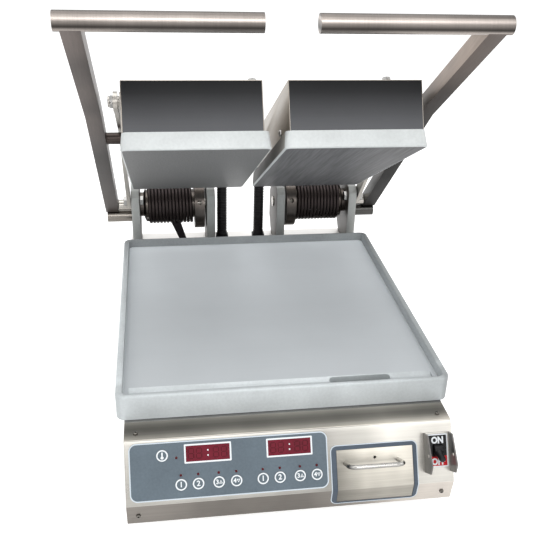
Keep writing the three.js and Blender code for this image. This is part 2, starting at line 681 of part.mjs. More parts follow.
// Both springs wind up as their arms come down, so one is the mirror image of the other
const springEnds = { near: turn(-150), far: turn(-150) - spring.turns * 2 * Math.PI };
function springHub(side) {
  const neckEnd = ear.outer - fit;
  const neckStart = neckEnd - hub.neckLong;
  const flareStart = spring.far + fit;
  const flare = across(side, flareStart, neckStart);
  const radii = side > 0 ? [hub.flare, hub.neck] : [hub.neck, hub.flare];
  const body = join(
    rod('x', hub.spigot, across(side, flareStart - hub.spigotLong, flareStart), pivotSpot, fine),
    rod('x', radii[0], flare, pivotSpot, fine, radii[1]),
    rod('x', hub.neck, across(side, neckStart, neckEnd), pivotSpot, fine),
    rod('x', hub.bearing, across(side, neckEnd, earFace), pivotSpot, fine),
    springLug(across(side, spring.far - 2 * spring.wire + slip, flareStart), springEnds.far, 1));
  return cut(body, rod('x', shaft.radius + fit, across(side, 0, peg.end), pivotSpot, round));
}

// The stay under the left spring, from the deck to just below the coil
function springStay() {
  const under = pivotZ - stay.seat - fit;
  const outline = [[stay.footX - stay.wide / 2, deckZ + fit], [stay.footX + stay.wide / 2, deckZ + fit],
    [stay.topX + stay.wide / 2, under], [stay.topX - stay.wide / 2, under]];
  const body = new THREE.ExtrudeGeometry(flat(outline), { depth: stay.deep, bevelEnabled: false });
  return solidOf(body.rotateX(Math.PI / 2).translate(0, stay.y + stay.deep / 2, 0));
}
piece(rig, 'left_spring_stay', springStay(), blackSteel);

// Torsion spring: one tube of five sides, eight steps a turn, with a straight tail at each end
const springSteps = 8;
const springSides = 5;
function springCentres(side) {
  const start = spring.near + spring.wire;
  const length = spring.far - spring.near - 2 * spring.wire;
  const steps = Math.round(spring.turns * springSteps);
  const row = [];
  for (let i = 0; i <= steps; i++) {
    const angle = springEnds.near + (springEnds.far - springEnds.near) * i / steps;
    row.push({ x: side * (start + length * i / steps), angle, slide: 0 });
  }
  row.unshift({ ...row[0], slide: spring.tail });
  row.push({ ...row[row.length - 1], slide: -spring.tail });
  return row;
}

// A point of the section: out along the radius, and sideways along the grill
function springPoint({ x, angle, slide }, out, sideways) {
  const radius = spring.radius + out;
  const radial = [-Math.sin(angle), Math.cos(angle)];
  const along = [-radial[1], radial[0]];
  return new THREE.Vector3(x + sideways,
    pivotSpot[0] + radial[0] * radius + along[0] * slide,
    pivotSpot[1] + radial[1] * radius + along[1] * slide);
}

function torsionSpring(side) {
  const rings = springCentres(side).map((spot) => {
    const ring = [];
    for (let k = 0; k < springSides; k++) {
      const way = k / springSides * 2 * Math.PI;
      ring.push(springPoint(spot, spring.wire * Math.cos(way), spring.wire * Math.sin(way)));
    }
    return ring;
  });
  return skin(rings, false);
}

// The least gap between one turn and the next, on the centres of the steps
function springGap() {
  const centres = springCentres(1).map((spot) => springPoint(spot, 0, 0));
  let least = Infinity;
  centres.forEach((a, i) => {
    for (let j = i + springSteps - 2; j < centres.length; j++) {
      least = Math.min(least, a.distanceTo(centres[j]));
    }
  });
  return least - 2 * spring.wire;
}
console.log(`least gap between the turns of a spring: ${springGap().toFixed(2)} mm`);

// Glands: one on the deck for each conduit, and the one that the mains lead enters by
const glandTop = deckZ + fit + conduit.glandHigh;
function conduitGland(x) {
  const spot = [x, conduit.y];
  const tail = deckZ - conduit.glandTail;
  return cut(join(rod('z', conduit.glandRadius, [deckZ + fit, glandTop], spot, 6),
    rod('z', conduit.valley, [tail, glandTop], spot, coarse)),
  rod('z', conduit.bore, [tail - overrun, glandTop + overrun], spot, coarse));
}

function mainsGland() {
  const spot = [inlet.inset - halfBase, inlet.z];
  const start = base.back - inlet.long;
  const end = base.back + fit + inlet.flangeThick;
  return cut(join(rod('y', inlet.radius, [start, end], spot, round),
    rod('y', inlet.flange, [base.back + fit, end], spot, 6)),
  rod('y', inlet.radius / 2, grown([start, end], overrun), spot, coarse));
}
piece(rig, 'mains_inlet_gland', mainsGland(), blackPlastic);

// Conduit route in (y, z): up from the deck, round a bend and into the back of the hood
const tilt = turn(platen.tilt);
const armRise = turn(arm.lowerRise);
const armPivot = [hinge.y - arm.pivot * Math.cos(armRise), pivotZ + arm.pivot * Math.sin(armRise)];
const fromPivot = (ahead, up) => [
  armPivot[0] - ahead * Math.cos(tilt) + up * Math.sin(tilt),
  armPivot[1] + ahead * Math.sin(tilt) + up * Math.cos(tilt)];
const hoodGland = fromPivot(-hood.behind - hood.glandLong - fit, hood.glandUp);

function conduitPath() {
  const sweep = Math.PI / 2 - tilt;
  const lead = (conduit.y - conduit.bend + conduit.bend * Math.sin(tilt) - hoodGland[0])
    / Math.cos(tilt);
  const leadEnd = [hoodGland[0] + lead * Math.cos(tilt), hoodGland[1] - lead * Math.sin(tilt)];
  const centre = [leadEnd[0] - conduit.bend * Math.sin(tilt),
    leadEnd[1] - conduit.bend * Math.cos(tilt)];
  const foot = [centre[0] + conduit.bend, glandTop + fit];
  return { sweep, lead, leadEnd, centre, foot };
}
const route = conduitPath();
const straightRun = route.centre[1] - route.foot[1];
const routeLength = straightRun + conduit.bend * route.sweep + route.lead;

// The place and direction of the route at a distance from the deck
function conduitAt(distance) {
  if (distance <= straightRun) return { at: [route.foot[0], route.foot[1] + distance], way: Math.PI / 2 };
  const bent = (distance - straightRun) / conduit.bend;
  if (bent <= route.sweep) {
    return { at: [route.centre[0] + conduit.bend * Math.cos(bent),
      route.centre[1] + conduit.bend * Math.sin(bent)], way: Math.PI / 2 + bent };
  }
  const left = distance - straightRun - conduit.bend * route.sweep;
  const way = Math.PI / 2 + route.sweep;
  return { at: [route.leadEnd[0] + left * Math.cos(way), route.leadEnd[1] + left * Math.sin(way)], way };
}

const hoseSides = 8;
function hoseRing(x, distance, radius) {
  const { at, way } = conduitAt(distance);
  const ring = [];
  for (let k = 0; k < hoseSides; k++) {
    const angle = (k + 0.5) / hoseSides * 2 * Math.PI;
    const out = radius * Math.cos(angle);
    ring.push(new THREE.Vector3(x + radius * Math.sin(angle),
      at[0] + out * Math.sin(way), at[1] - out * Math.cos(way)));
  }
  return ring;
}

// A corrugated hose: straight ends of one diameter, two rings to a rib, and a bore inside
function corrugatedHose(x, from, to) {
  const end = 2 * conduit.radius;
  const ribs = Math.round((to - from - 2 * end) / conduit.ribPitch);
  const pitch = (to - from - 2 * end) / ribs;
  const outside = [hoseRing(x, from, conduit.radius), hoseRing(x, from + end, conduit.radius)];
  const inside = [hoseRing(x, from, conduit.bore)];
  for (let i = 0; i < ribs; i++) {
    const start = from + end + i * pitch;
    outside.push(hoseRing(x, start + pitch / 2, conduit.valley));
    outside.push(hoseRing(x, start + pitch, conduit.radius));
    if (i % 5 === 0) inside.push(hoseRing(x, start, conduit.bore));
  }
  outside.push(hoseRing(x, to, conduit.radius));
  inside.push(hoseRing(x, to, conduit.bore));
  return skin([...outside, ...inside.reverse()], true);
}

const hoseJoint = conduit.split - route.foot[1];

// Handle arm, in the rig's own frame
const upperRise = turn(arm.upperRise);
const armBend = [hinge.y - arm.lower * Math.cos(armRise), pivotZ + arm.lower * Math.sin(armRise)];
const armTop = [armBend[0] - arm.upper * Math.cos(upperRise),
  armBend[1] + arm.upper * Math.sin(upperRise)];
const armStart = [hinge.y + 2 * arm.square * Math.cos(armRise),
  pivotZ - 2 * arm.square * Math.sin(armRise)];

function handleArm(side) {
  const line = [armStart, armBend, armTop];
  const half = arm.square / 2;
  const x = across(side, arm.near, arm.near + arm.square);
  const outline = [...beside(line, half), ...beside(line, -half).reverse()];
  const foot = pivotZ - peg.drop;
  const trimmed = cut(slab(outline, x),
    block(grown(x, overrun), [hinge.y - 2 * arm.square, hinge.y + 3 * arm.square],
      [foot - 3 * arm.square, foot]));
  const stud = across(side, hood.far - overrun, arm.near + fit);
  return join(trimmed, rod('x', bar.radius, across(side, bar.near, bar.far), armTop, fine),
    rod('x', arm.stud, stud, armPivot, round));
}

function windingCollar(side) {
  const x = across(side, collar.near, collar.far);
  const spigot = across(side, collar.far, collar.far + collar.spigotLong);
  const body = join(rod('x', collar.radius, x, pivotSpot, fine),
    rod('x', collar.spigot, spigot, pivotSpot, fine),
    springLug(across(side, collar.far - fit, spring.near + 2 * spring.wire - slip),
      springEnds.near, -1));
  const key = turn(collar.keyTilt);
  const place = new THREE.Matrix4().makeTranslation(side * (collar.near + collar.far) / 2, ...pivotSpot)
    .multiply(new THREE.Matrix4().makeRotationX(Math.PI / 2 - key));
  const keyHole = rod('z', collar.keyHole, [shaft.radius, collar.radius + overrun], [0, 0], coarse)
    .transform([...place.elements]);
  return cut(body, rod('x', shaft.radius + fit, grown(across(side, 0, peg.end), overrun),
    pivotSpot, round), keyHole);
}

// Levelling link: from its bolt (y = z = 0) along -y to the stud on the platen's bracket
const studSpot = fromPivot(bracket.linkAhead, bracket.linkUp);
const linkRun = [boltSpot[0] - studSpot[0], studSpot[1] - boltSpot[1]];
const linkLength = Math.hypot(...linkRun);
const linkRise = Math.atan2(linkRun[1], linkRun[0]);
const linkNear = earFace + link.gap;

function levellingLink(side) {
  const x = across(side, linkNear, linkNear + link.thick);
  const knee = [-link.bowShare * linkLength, link.bow];
  const half = link.wide / 2;
  const body = join(barBetween([0, 0], knee, link.eye, half, half, x),
    barBetween(knee, [-linkLength, 0], half, link.topEye, half, x));
  const slotRadius = bracket.stud + slip;
  const slot = barBetween([-linkLength - fit, 0], [-linkLength + link.play + fit, 0],
    slotRadius, slotRadius, slotRadius, grown(x, overrun));
  return cut(body, rod('x', link.bolt + fit, grown(x, overrun), [0, 0], coarse), slot);
}

// Platen pieces, in the frame of the pivot on the arm
function castPlaten(side) {
  const x = across(side, platen.near, platen.far);
  const y = [-platen.ahead, platen.behind];
  const z = [-platen.below, -platen.below + platen.thick];
  const body = new THREE.BoxGeometry(size(x), size(y), size(z));
  const corners = body.attributes.position;
  for (let i = 0; i < corners.count; i++) {
    if (corners.getZ(i) < 0) continue;
    corners.setX(i, corners.getX(i) - Math.sign(corners.getX(i)) * platen.draft);
    corners.setY(i, corners.getY(i) - Math.sign(corners.getY(i)) * platen.draft);
  }
  const studs = [-1, 1].map((way) => rod('z', platen.terminal, [z[1] - fit, z[1] + platen.terminalHigh],
    [middle(x) + way * platen.terminalGap / 2, hood.behind - platen.terminalGap], coarse));
  return join(solidOf(body.translate(middle(x), middle(y), middle(z))), ...studs);
}

const hoodFoot = platen.thick - platen.below + fit;
function platenHood(side, conduitX) {
  const x = across(side, hood.near, hood.far);
  const y = [-hood.ahead, hood.behind];
  const z = [hoodFoot, hood.above];
  const gland = [hood.behind - overrun, hood.behind + hood.glandLong];
  const spot = [conduitX, hood.glandUp];
  const walls = join(block(x, y, z), rod('y', hood.gland, [hood.behind - sheet, gland[1]], spot, round));
  return cut(walls,
    block(grown(x, -sheet), grown(y, -sheet), [z[0] - overrun, z[1] - sheet]),
    rod('y', conduit.bore, [gland[0], gland[1] + overrun], spot, coarse),
    rod('x', arm.stud + 2 * slip, across(side, hood.far - 2 * sheet, hood.far + overrun), [0, 0], round));
}

function platenBracket(side) {
  const near = hood.far + fit;
  const x = across(side, near, near + bracket.thick);
  const studAt = [-bracket.linkAhead, bracket.linkUp];
  const foot = hoodFoot;
  const web = slab([[bracket.footBehind, foot], [bracket.lobe, bracket.lobe / 2],
    [0, bracket.lobe - fit], [studAt[0], studAt[1] + bracket.linkLobe - fit],
    [studAt[0] - bracket.linkLobe + fit, studAt[1]], [-bracket.footAhead, foot]], x);
  const body = join(web, rod('x', bracket.lobe, x, [0, 0], fine),
    rod('x', bracket.linkLobe, x, studAt, round),
    rod('x', bracket.stud, across(side, near, bracket.studEnd), studAt, round));
  return cut(body, rod('x', arm.stud + fit, grown(x, overrun), [0, 0], round));
}

for (const [side, conduitX] of conduits) {
  const name = side < 0 ? 'left' : 'right';
  const platenFrame = frameAt(rig, ...armPivot, -tilt);
  const linkFrame = frameAt(rig, ...boltSpot, -linkRise);
  piece(rig, `${name}_hinge_bracket`, hingeBracket(side), castGrey);
  piece(rig, `${name}_link_bolt`, linkBolt(side), steel);
  piece(rig, `${name}_spring_hub`, springHub(side), bronze);
  piece(rig, `${name}_torsion_spring`, torsionSpring(side), blackSteel);
  piece(rig, `${name}_conduit_gland`, conduitGland(conduitX), blackPlastic);
  piece(rig, `${name}_conduit_lower`, corrugatedHose(conduitX, 0, hoseJoint), rubber);
  piece(rig, `${name}_conduit_upper`, corrugatedHose(conduitX, hoseJoint + fit, routeLength), rubber);
  piece(rig, `${name}_handle_arm`, handleArm(side), steel);
  piece(rig, `${name}_pivot_shaft`, rod('x', shaft.radius,
    across(side, shaft.start, arm.near - fit), pivotSpot, round), steel);
  piece(rig, `${name}_winding_collar`, windingCollar(side), blackSteel);
  piece(linkFrame, `${name}_levelling_link`, levellingLink(side), steel);
  piece(platenFrame, `${name}_cast_platen`, castPlaten(side), castGrey);
  piece(platenFrame, `${name}_platen_hood`, platenHood(side, conduitX), hoodSteel);
  piece(platenFrame, `${name}_platen_bracket`, platenBracket(side), steel);
}

// The origin is on the worktop, under the middle of the grill's own box
const pullOut = pull.out + pull.wire;
const frontReach = topBend[0] - pull.row * Math.cos(slopeAngle) - pullOut * Math.sin(slopeAngle);
rig.position.y = -(frontReach + ear.back) / 2;

export default grill;
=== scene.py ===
"""The looks of a two-sided contact grill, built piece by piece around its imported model.

Lengths are millimetres in the grill's drawing frame: x runs to the right, y = 0 is the front face
of the griddle plate and z = 0 is the worktop. Every piece is turned into metres in the row frame
when its mesh is made, so each object sits at the origin.
"""

from __future__ import annotations

import json
import logging
import math
from dataclasses import dataclass, field, replace
from enum import Enum
from typing import Callable, Iterable, Sequence

import bmesh
import bpy
import numpy as np
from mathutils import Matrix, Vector

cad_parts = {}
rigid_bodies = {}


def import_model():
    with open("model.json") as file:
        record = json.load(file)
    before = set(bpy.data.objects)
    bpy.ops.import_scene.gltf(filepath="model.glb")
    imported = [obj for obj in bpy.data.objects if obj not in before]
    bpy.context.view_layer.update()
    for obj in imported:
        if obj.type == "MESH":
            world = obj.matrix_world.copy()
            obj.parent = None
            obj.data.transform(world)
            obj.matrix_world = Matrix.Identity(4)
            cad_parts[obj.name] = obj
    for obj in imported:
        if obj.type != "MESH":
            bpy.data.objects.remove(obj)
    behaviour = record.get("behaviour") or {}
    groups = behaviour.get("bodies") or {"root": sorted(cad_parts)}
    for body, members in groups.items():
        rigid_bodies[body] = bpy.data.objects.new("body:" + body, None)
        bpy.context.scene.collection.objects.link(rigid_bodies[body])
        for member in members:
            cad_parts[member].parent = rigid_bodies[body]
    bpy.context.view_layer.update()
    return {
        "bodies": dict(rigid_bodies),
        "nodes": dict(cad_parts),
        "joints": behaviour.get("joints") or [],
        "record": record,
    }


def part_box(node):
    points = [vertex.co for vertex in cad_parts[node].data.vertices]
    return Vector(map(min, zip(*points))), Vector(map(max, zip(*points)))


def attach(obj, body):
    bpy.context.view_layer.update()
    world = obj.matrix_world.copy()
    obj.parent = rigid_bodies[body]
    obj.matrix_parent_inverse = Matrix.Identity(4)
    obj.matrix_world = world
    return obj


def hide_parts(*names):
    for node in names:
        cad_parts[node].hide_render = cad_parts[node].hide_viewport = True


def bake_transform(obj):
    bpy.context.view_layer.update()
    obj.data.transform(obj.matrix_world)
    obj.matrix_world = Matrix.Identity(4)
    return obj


LOG = logging.getLogger("contact_grill")
MM = 0.001
Array = np.ndarray
Pair = tuple[float, float]
Triple = tuple[float, float, float]
Box = tuple[float, float, float, float]
Zone = tuple[int, Callable[[Vector, Vector], bool]]
Lift = Callable[[Array, float], Array]


# Shapes


@dataclass(frozen=True)
class Place:
    """A local frame in the drawing frame.

    Args:
        origin: The local origin, in millimetres.
        right: Direction of the first local coordinate.
        up: Direction of the second local coordinate.
        out: Direction of the third local coordinate.
    """

    origin: Triple
    right: Triple = (1.0, 0.0, 0.0)
    up: Triple = (0.0, 1.0, 0.0)
    out: Triple = (0.0, 0.0, 1.0)

    def points(self, local: Array) -> Array:
        """Local points in the drawing frame: the origin plus each coordinate along its axis."""
        return np.array(self.origin) + local @ np.array([self.right, self.up, self.out])

    def local(self, point: Vector) -> Triple:
        """A drawing point's local coordinates: its offset's share along each direction."""
        offset = point - Vector(self.origin)
        return tuple(offset.dot(Vector(axis)) for axis in (self.right, self.up, self.out))

    def shifted(self, x: float, y: float, z: float) -> Place:
        """The same frame with its origin at a local point."""
        origin = self.points(np.array([[x, y, z]]))[0]
        return Place(tuple(origin), self.right, self.up, self.out)

    def raised(self, loop: Array, height: float) -> Array:
        """A flat local loop, lifted to a height, in the drawing frame."""
        return self.points(level(loop, height))


@dataclass
class Shape:
    """A mesh in the making: blocks of corners, in millimetres, and the faces that join them."""

    blocks: list[Array] = field(default_factory=list)
    faces: list[Array] = field(default_factory=list)
    count: int = 0

    def add(self, corners: Array, faces: Iterable[Sequence[int]]) -> Shape:
        """Adds corners and the faces that join them.

        Args:
            corners: Rows of three coordinates.
            faces: Corner numbers of each face, counted in this block.

        Returns:
            The shape itself.
        """
        self.faces += (np.array(face) + self.count for face in faces)
        self.blocks.append(corners.reshape(-1, 3))
        self.count += self.blocks[-1].shape[0]
        return self

    def join(self, other: Shape) -> Shape:
        """Adds all of another shape, and returns the shape itself."""
        return self.add(np.concatenate(other.blocks), other.faces)

    def loft(self, rings: Array, hoop: bool = False) -> Shape:
        """Skins closed rings: corner i of a ring joins corner i + 1 and the same in the next ring.

        Args:
            rings: Corners as (rings, corners, 3).
            hoop: True where the last ring joins the first; otherwise both ends are capped.

        Returns:
            The shape itself.
        """
        rows, count = rings.shape[:2]
        index = np.arange(rows * count).reshape(rows, count)
        here = index if hoop else index[:-1]
        after = np.roll(index, -1, axis=0) if hoop else index[1:]
        quads = np.stack(
            [here, np.roll(here, -1, 1), np.roll(after, -1, 1), after], axis=-1
        ).reshape(-1, 4)
        caps = [] if hoop else [index[0][::-1], index[-1]]
        return self.add(rings, [*quads, *caps])

    def patch(self, grid: Array, keep: Array) -> Shape:
        """Adds an open surface over a grid of points, with the cells that keep marks.

        Args:
            grid: Points as (rows, columns, 3).
            keep: True for each cell that is there, as (rows - 1, columns - 1).

        Returns:
            The shape itself.
        """
        rows, columns = grid.shape[:2]
        index = np.arange(rows * columns).reshape(rows, columns)
        cells = np.stack(
            [index[:-1, :-1], index[1:, :-1], index[1:, 1:], index[:-1, 1:]], axis=-1
        )
        return self.add(grid, cells[keep])


def circle(radius: float, sides: int = 32) -> Array:
    """A circle: radius times (cos, sin) of equal steps of a full turn."""
    turn = np.arange(sides) * 2 * np.pi / sides
    return radius * np.stack([np.cos(turn), np.sin(turn)], axis=1)


def rounded_loop(x: Pair, y: Pair, radius: float, steps: int = 6, side: int = 1) -> Array:
    """A rectangle with round corners, anticlockwise from its right side.

    Each corner is a quarter circle about a centre one radius in from both sides, and each
    straight side is cut into equal lengths.

    Args:
        x: Left and right sides.
        y: Lower and upper sides.
        radius: Corner radius.
        steps: Steps in each quarter circle.
        side: Lengths that each straight side is cut into.

    Returns:
        The points, as rows of two coordinates.
    """
    quarter = np.linspace(0, np.pi / 2, steps + 1)
    corners = [(x[1], y[1], 1, 1), (x[0], y[1], -1, 1), (x[0], y[0], -1, -1), (x[1], y[0], 1, -1)]
    arcs = []
    for number, (cx, cy, sx, sy) in enumerate(corners):
        angle = quarter + number * np.pi / 2
        across = cx - sx * radius + radius * np.cos(angle)
        up = cy - sy * radius + radius * np.sin(angle)
        arcs.append(np.stack([across, up], axis=1))
    parts = []
    share = np.linspace(0, 1, side + 1)[1:-1, None]
    for arc, following in zip(arcs, arcs[1:] + arcs[:1]):
        parts += [arc, arc[-1] + share * (following[0] - arc[-1])]
    return np.concatenate(parts)


def inset(box: Box, by: float) -> Box:
    """A box (left, right, low, high) drawn in by the same distance on every side."""
    return box[0] + by, box[1] - by, box[2] + by, box[3] - by


def box_loop(box: Box, radius: float, steps: int = 6, side: int = 1) -> Array:
    """The rounded loop of a box (left, right, low, high)."""
    return rounded_loop(box[:2], box[2:], radius, steps, side)


def meets(value: float, *targets: float) -> bool:
    """True where a value is a twentieth of a millimetre or less from one of the targets."""
    return any(abs(value - target) < 0.05 for target in targets)


def level(loop: Array, height: float) -> Array:
    """A flat loop lifted to a height: its two coordinates, then the height."""
    return np.column_stack([loop, np.full(len(loop), height)])


def turned(profile: Sequence[Pair], sides: int = 40) -> Array:
    """Rings of a turned shape: each profile point (radius, height) goes once round the axis."""
    unit = circle(1.0, sides)
    return np.stack([level(unit * radius, height) for radius, height in profile])


def bent_path(corners: Sequence[Triple], radius: float, steps: int = 8) -> Array:
    """A path of straight runs whose corners are circular bends.

    A bend starts and ends at radius * tan(half the change of direction) from its corner. Its
    points are the centre plus the radius times a direction that turns evenly from the first
    run's normal to the second's.

    Args:
        corners: The corners of the path.
        radius: Radius of every bend.
        steps: Steps in each bend.

    Returns:
        The points of the path, as rows of three coordinates.
    """
    points = np.array(corners, float)
    rows = [points[:1]]
    for before, corner, after in zip(points, points[1:], points[2:]):
        into = (corner - before) / np.linalg.norm(corner - before)
        onward = (after - corner) / np.linalg.norm(after - corner)
        change = math.acos(float(np.clip(into @ onward, -1, 1)))
        reach = radius * math.tan(change / 2)
        inward = onward - into * math.cos(change)
        inward /= np.linalg.norm(inward)
        angle = np.linspace(0, change, steps + 1)[:, None]
        start = corner - into * reach
        rows.append(start + radius * (np.sin(angle) * into + (1 - np.cos(angle)) * inward))
    rows.append(points[-1:])
    return np.concatenate(rows)


def swept(path: Array, side: Triple, radius: float | Array, sides: int = 16) -> Array:
    """Rings of a round bar along a path that lies square to one direction.

    Each ring is the path's point plus the radius times cos of the ring's angle along that
    direction, and sin along the path's own normal, the direction crossed with the tangent.

    Args:
        path: Points of the path.
        side: The direction that is square to the whole path.
        radius: One radius, or one for each point.
        sides: Sides of the section.

    Returns:
        The rings, as (points, sides, 3).
    """
    tangent = np.gradient(path, axis=0)
    tangent /= np.linalg.norm(tangent, axis=1, keepdims=True)
    across = np.array(side, float)
    normal = np.cross(tangent, across)
    section = circle(1.0, sides)
    reach = np.broadcast_to(np.asarray(radius, float), (len(path),))[:, None, None]
    offset = section[None, :, :1] * across + section[None, :, 1:] * normal[:, None, :]
    return path[:, None, :] + reach * offset


# Finishes


class Grain(Enum):
    """The patterns that the finishes share, each a node group."""

    BRUSHED = "brushed_grain"
    CAST = "cast_grain"
    STREAKED = "streaked_grain"


@dataclass(frozen=True)
class Fade:
    """A change of painted shade along one direction of the drawing frame, which stands in for light
    and shade.

    Args:
        direction: The direction, as a unit vector.
        stops: Distances along it in millimetres, each with the share of the colour left there.
    """

    direction: Triple
    stops: tuple[Pair, ...]


@dataclass(frozen=True)
class Finish:
    """A surface finish, given as the way it looks under plain light.

    Args:
        name: Name of the material.
        tint: Colour, as red, green and blue from 0 to 255.
        slot: The record's material slot; not used.
        metallic: 1 for bare metal.
        roughness: Mean roughness.
        grain: Which pattern varies it.
        contrast: How far the pattern changes the colour.
        spread: How far the pattern changes the roughness.
        depth: Height of the pattern, in millimetres.
        scale: How fine the pattern is along each axis, in cells to the metre.
        turn: Turn of the pattern about x, in degrees.
        specular: Level of its plain gloss.
        fades: Painted shade, how its colour darkens or brightens over the piece in place of light
            and shade.
    """

    name: str
    tint: tuple[int, int, int]
    slot: str
    metallic: float = 0.0
    roughness: float = 0.5
    grain: Grain = Grain.CAST
    contrast: float = 0.12
    spread: float = 0.1
    depth: float = 0.03
    scale: Triple = (300.0, 300.0, 300.0)
    turn: float = 0.0
    specular: float = 0.5
    fades: tuple[Fade, ...] = ()


UPRIGHT: Triple = (0.0, 0.0, 1.0)
ACROSS: Triple = (1.0, 0.0, 0.0)
BACKWARD: Triple = (0.0, 1.0, 0.0)
HOOD_RISE: Triple = (0.0, math.sin(math.radians(28.0)), math.cos(math.radians(28.0)))
SHEET_GRAIN: Triple = (9.0, 700.0, 700.0)
TUBE_GRAIN: Triple = (700.0, 18.0, 700.0)
BAR_GRAIN: Triple = (900.0, 60.0, 60.0)


def even(cells: float) -> Triple:
    """The same number of cells to the metre along each axis."""
    return cells, cells, cells


# The slope's brushed sheet. Its fade across is painted shade and reflection: darkest just left of
# the drawer, darker to the left, full only at the right end.
STAINLESS = Finish(
    "slope_sheet", (207, 204, 197), "stainless", 1.0, 0.3, Grain.BRUSHED, 0.22, 0.18, 0.02,
    SHEET_GRAIN,
    fades=(Fade(ACROSS, ((-170, 0.64), (-80, 0.62), (0, 0.54), (35, 0.44), (48, 0.52), (80, 0.64),
                         (105, 0.88), (170, 1.0))),),
)
# The ledge, a darker copy of the sheet: painted shade that is darker to the left, and a dark band
# across it under the griddle's front edge that is partly the griddle's painted shadow and partly a
# brownish stain.
LEDGE_STAIN_AND_SHADE = replace(
    STAINLESS, name="ledge_sheet", tint=(216, 210, 199), roughness=0.4, contrast=0.3,
    fades=(
        Fade(ACROSS, ((-170, 0.6), (-100, 0.7), (-10, 0.76), (48, 0.88), (105, 1.0), (170, 0.9))),
        Fade(BACKWARD, ((-35.3, 1.0), (-31.5, 0.88), (-26, 0.48), (-21, 0.32), (-16, 0.29),
                        (-10, 0.44), (-5, 0.72), (-3, 0.8))),
    ),
)
# The lip, which faces down: a darker copy of the sheet with painted shade, darkest left of the
# middle and full only at the right end.
LIP_SHADED_STEEL = replace(
    STAINLESS, name="lip_sheet", tint=(196, 189, 181), roughness=0.36, contrast=0.3,
    fades=(Fade(ACROSS, ((-170, 0.41), (-80, 0.28), (15, 0.26), (80, 0.5), (120, 0.9),
                         (170, 1.0))),),
)
DECK_STEEL = replace(
    STAINLESS, name="deck_sheet", tint=(190, 188, 183), roughness=0.4, contrast=0.2, spread=0.14,
    fades=(),
)
# The deck's top: a much paler copy of the deck sheet, which is painted light, with painted shade
# that is dark at its front edge under the griddle and pale again behind the griddle.
DECK_TOP_PAINTED_LIGHT = replace(
    DECK_STEEL, name="deck_top", tint=(248, 246, 243),
    fades=(Fade(BACKWARD, ((-4, 0.26), (4, 0.28), (60, 0.7), (396, 0.7), (402, 1.0),
                           (488, 1.0))),),
)
# The drawer's face, with painted shade: darker below its bend and towards its left edge.
DRAWER_STEEL = replace(
    STAINLESS, name="drawer_face", tint=(214, 209, 198), roughness=0.32, contrast=0.4,
    fades=(
        Fade(UPRIGHT, ((45, 0.5), (50.5, 0.54), (53, 0.88), (66, 0.98), (88, 1.0))),
        Fade(ACROSS, ((46, 0.45), (60, 0.64), (78, 0.92), (105, 1.0), (132, 1.0))),
    ),
)
# The right arm's tube, with painted shade and reflection: nearly black low down, lightening towards
# the handle bar.
ARM_STEEL = Finish(
    "right_arm_tube", (102, 91, 83), "bright_steel", 1.0, 0.36, Grain.BRUSHED, 0.5, 0.2, 0.02,
    TUBE_GRAIN, 40.0,
    fades=(Fade(UPRIGHT, ((150, 0.06), (250, 0.05), (330, 0.16), (400, 0.36), (430, 0.7),
                          (500, 0.8))),),
)
# The left arm's tube: a copy of the tube's finish with painted shade and reflection, in dark and
# light bands up its height.
SHADED_LEFT_ARM_STEEL = replace(
    ARM_STEEL, name="left_arm_tube", tint=(97, 88, 84),
    fades=(Fade(UPRIGHT, ((150, 0.42), (225, 0.34), (265, 0.24), (300, 0.21), (330, 0.55),
                          (370, 0.72), (386, 0.5), (415, 0.68), (460, 0.54), (482, 0.86),
                          (500, 0.96))),),
)
# The right tube's wall that faces the platens: a shaded copy of the tube's finish, with painted
# shade that is dark low down and lighter near the top.
ARM_INNER_SHADED = replace(
    ARM_STEEL, name="right_arm_inner", tint=(165, 150, 139),
    fades=(Fade(UPRIGHT, ((150, 0.03), (250, 0.02), (330, 0.08), (400, 0.2), (420, 0.42),
                          (448, 0.72), (500, 0.8))),),
)
# The right tube's wall that faces down and to the front: a matt, shaded copy of the tube's finish
# with painted shade, dark low down and lighter near the top.
ARM_UNDER_SHADED = replace(
    ARM_STEEL, name="right_arm_under", tint=(112, 101, 95), metallic=0.0, roughness=0.5,
    contrast=0.3, specular=0.12,
    fades=(Fade(UPRIGHT, ((150, 0.05), (206, 0.06), (245, 0.01), (330, 0.1), (400, 0.22),
                          (420, 0.3), (448, 0.68), (470, 0.8), (512, 0.9))),),
)
LINK_STEEL = Finish(
    "link_steel", (176, 172, 166), "bright_steel", 1.0, 0.34, Grain.BRUSHED, 0.3, 0.16, 0.02,
    TUBE_GRAIN, 40.0,
)
# The handle bar, with painted reflection: bands along its length that change with height over its
# section, dark below its middle and with a bright streak above it.
BAR_STEEL = replace(
    LINK_STEEL, name="handle_bar", tint=(200, 190, 183), scale=BAR_GRAIN, turn=0.0,
    fades=(Fade(UPRIGHT, ((503.2, 0.5), (505, 0.62), (506.3, 0.46), (508.2, 0.09), (509.5, 0.07),
                          (511.3, 0.18), (513.2, 0.38), (515.1, 0.5), (517, 1.0), (518.6, 0.84),
                          (520, 0.25), (522.1, 0.2))),),
)
# The drawer handle's wire, with painted reflection: dark low down, with a bright streak near the
# top of its bar.
WIRE_STEEL = Finish(
    "handle_wire", (196, 194, 190), "bright_steel", 1.0, 0.24, Grain.BRUSHED, 0.2, 0.14, 0.01,
    BAR_GRAIN,
    fades=(Fade(UPRIGHT, ((76, 0.3), (87.6, 0.2), (89.4, 0.5), (91, 1.0), (92.1, 0.7))),),
)
SHAFT_STEEL = Finish(
    "turned_steel", (176, 172, 166), "bright_steel", 1.0, 0.26, Grain.BRUSHED, 0.25, 0.14, 0.02,
    BAR_GRAIN,
)
PEG_STEEL = replace(SHAFT_STEEL, name="peg_steel", tint=(128, 123, 117))
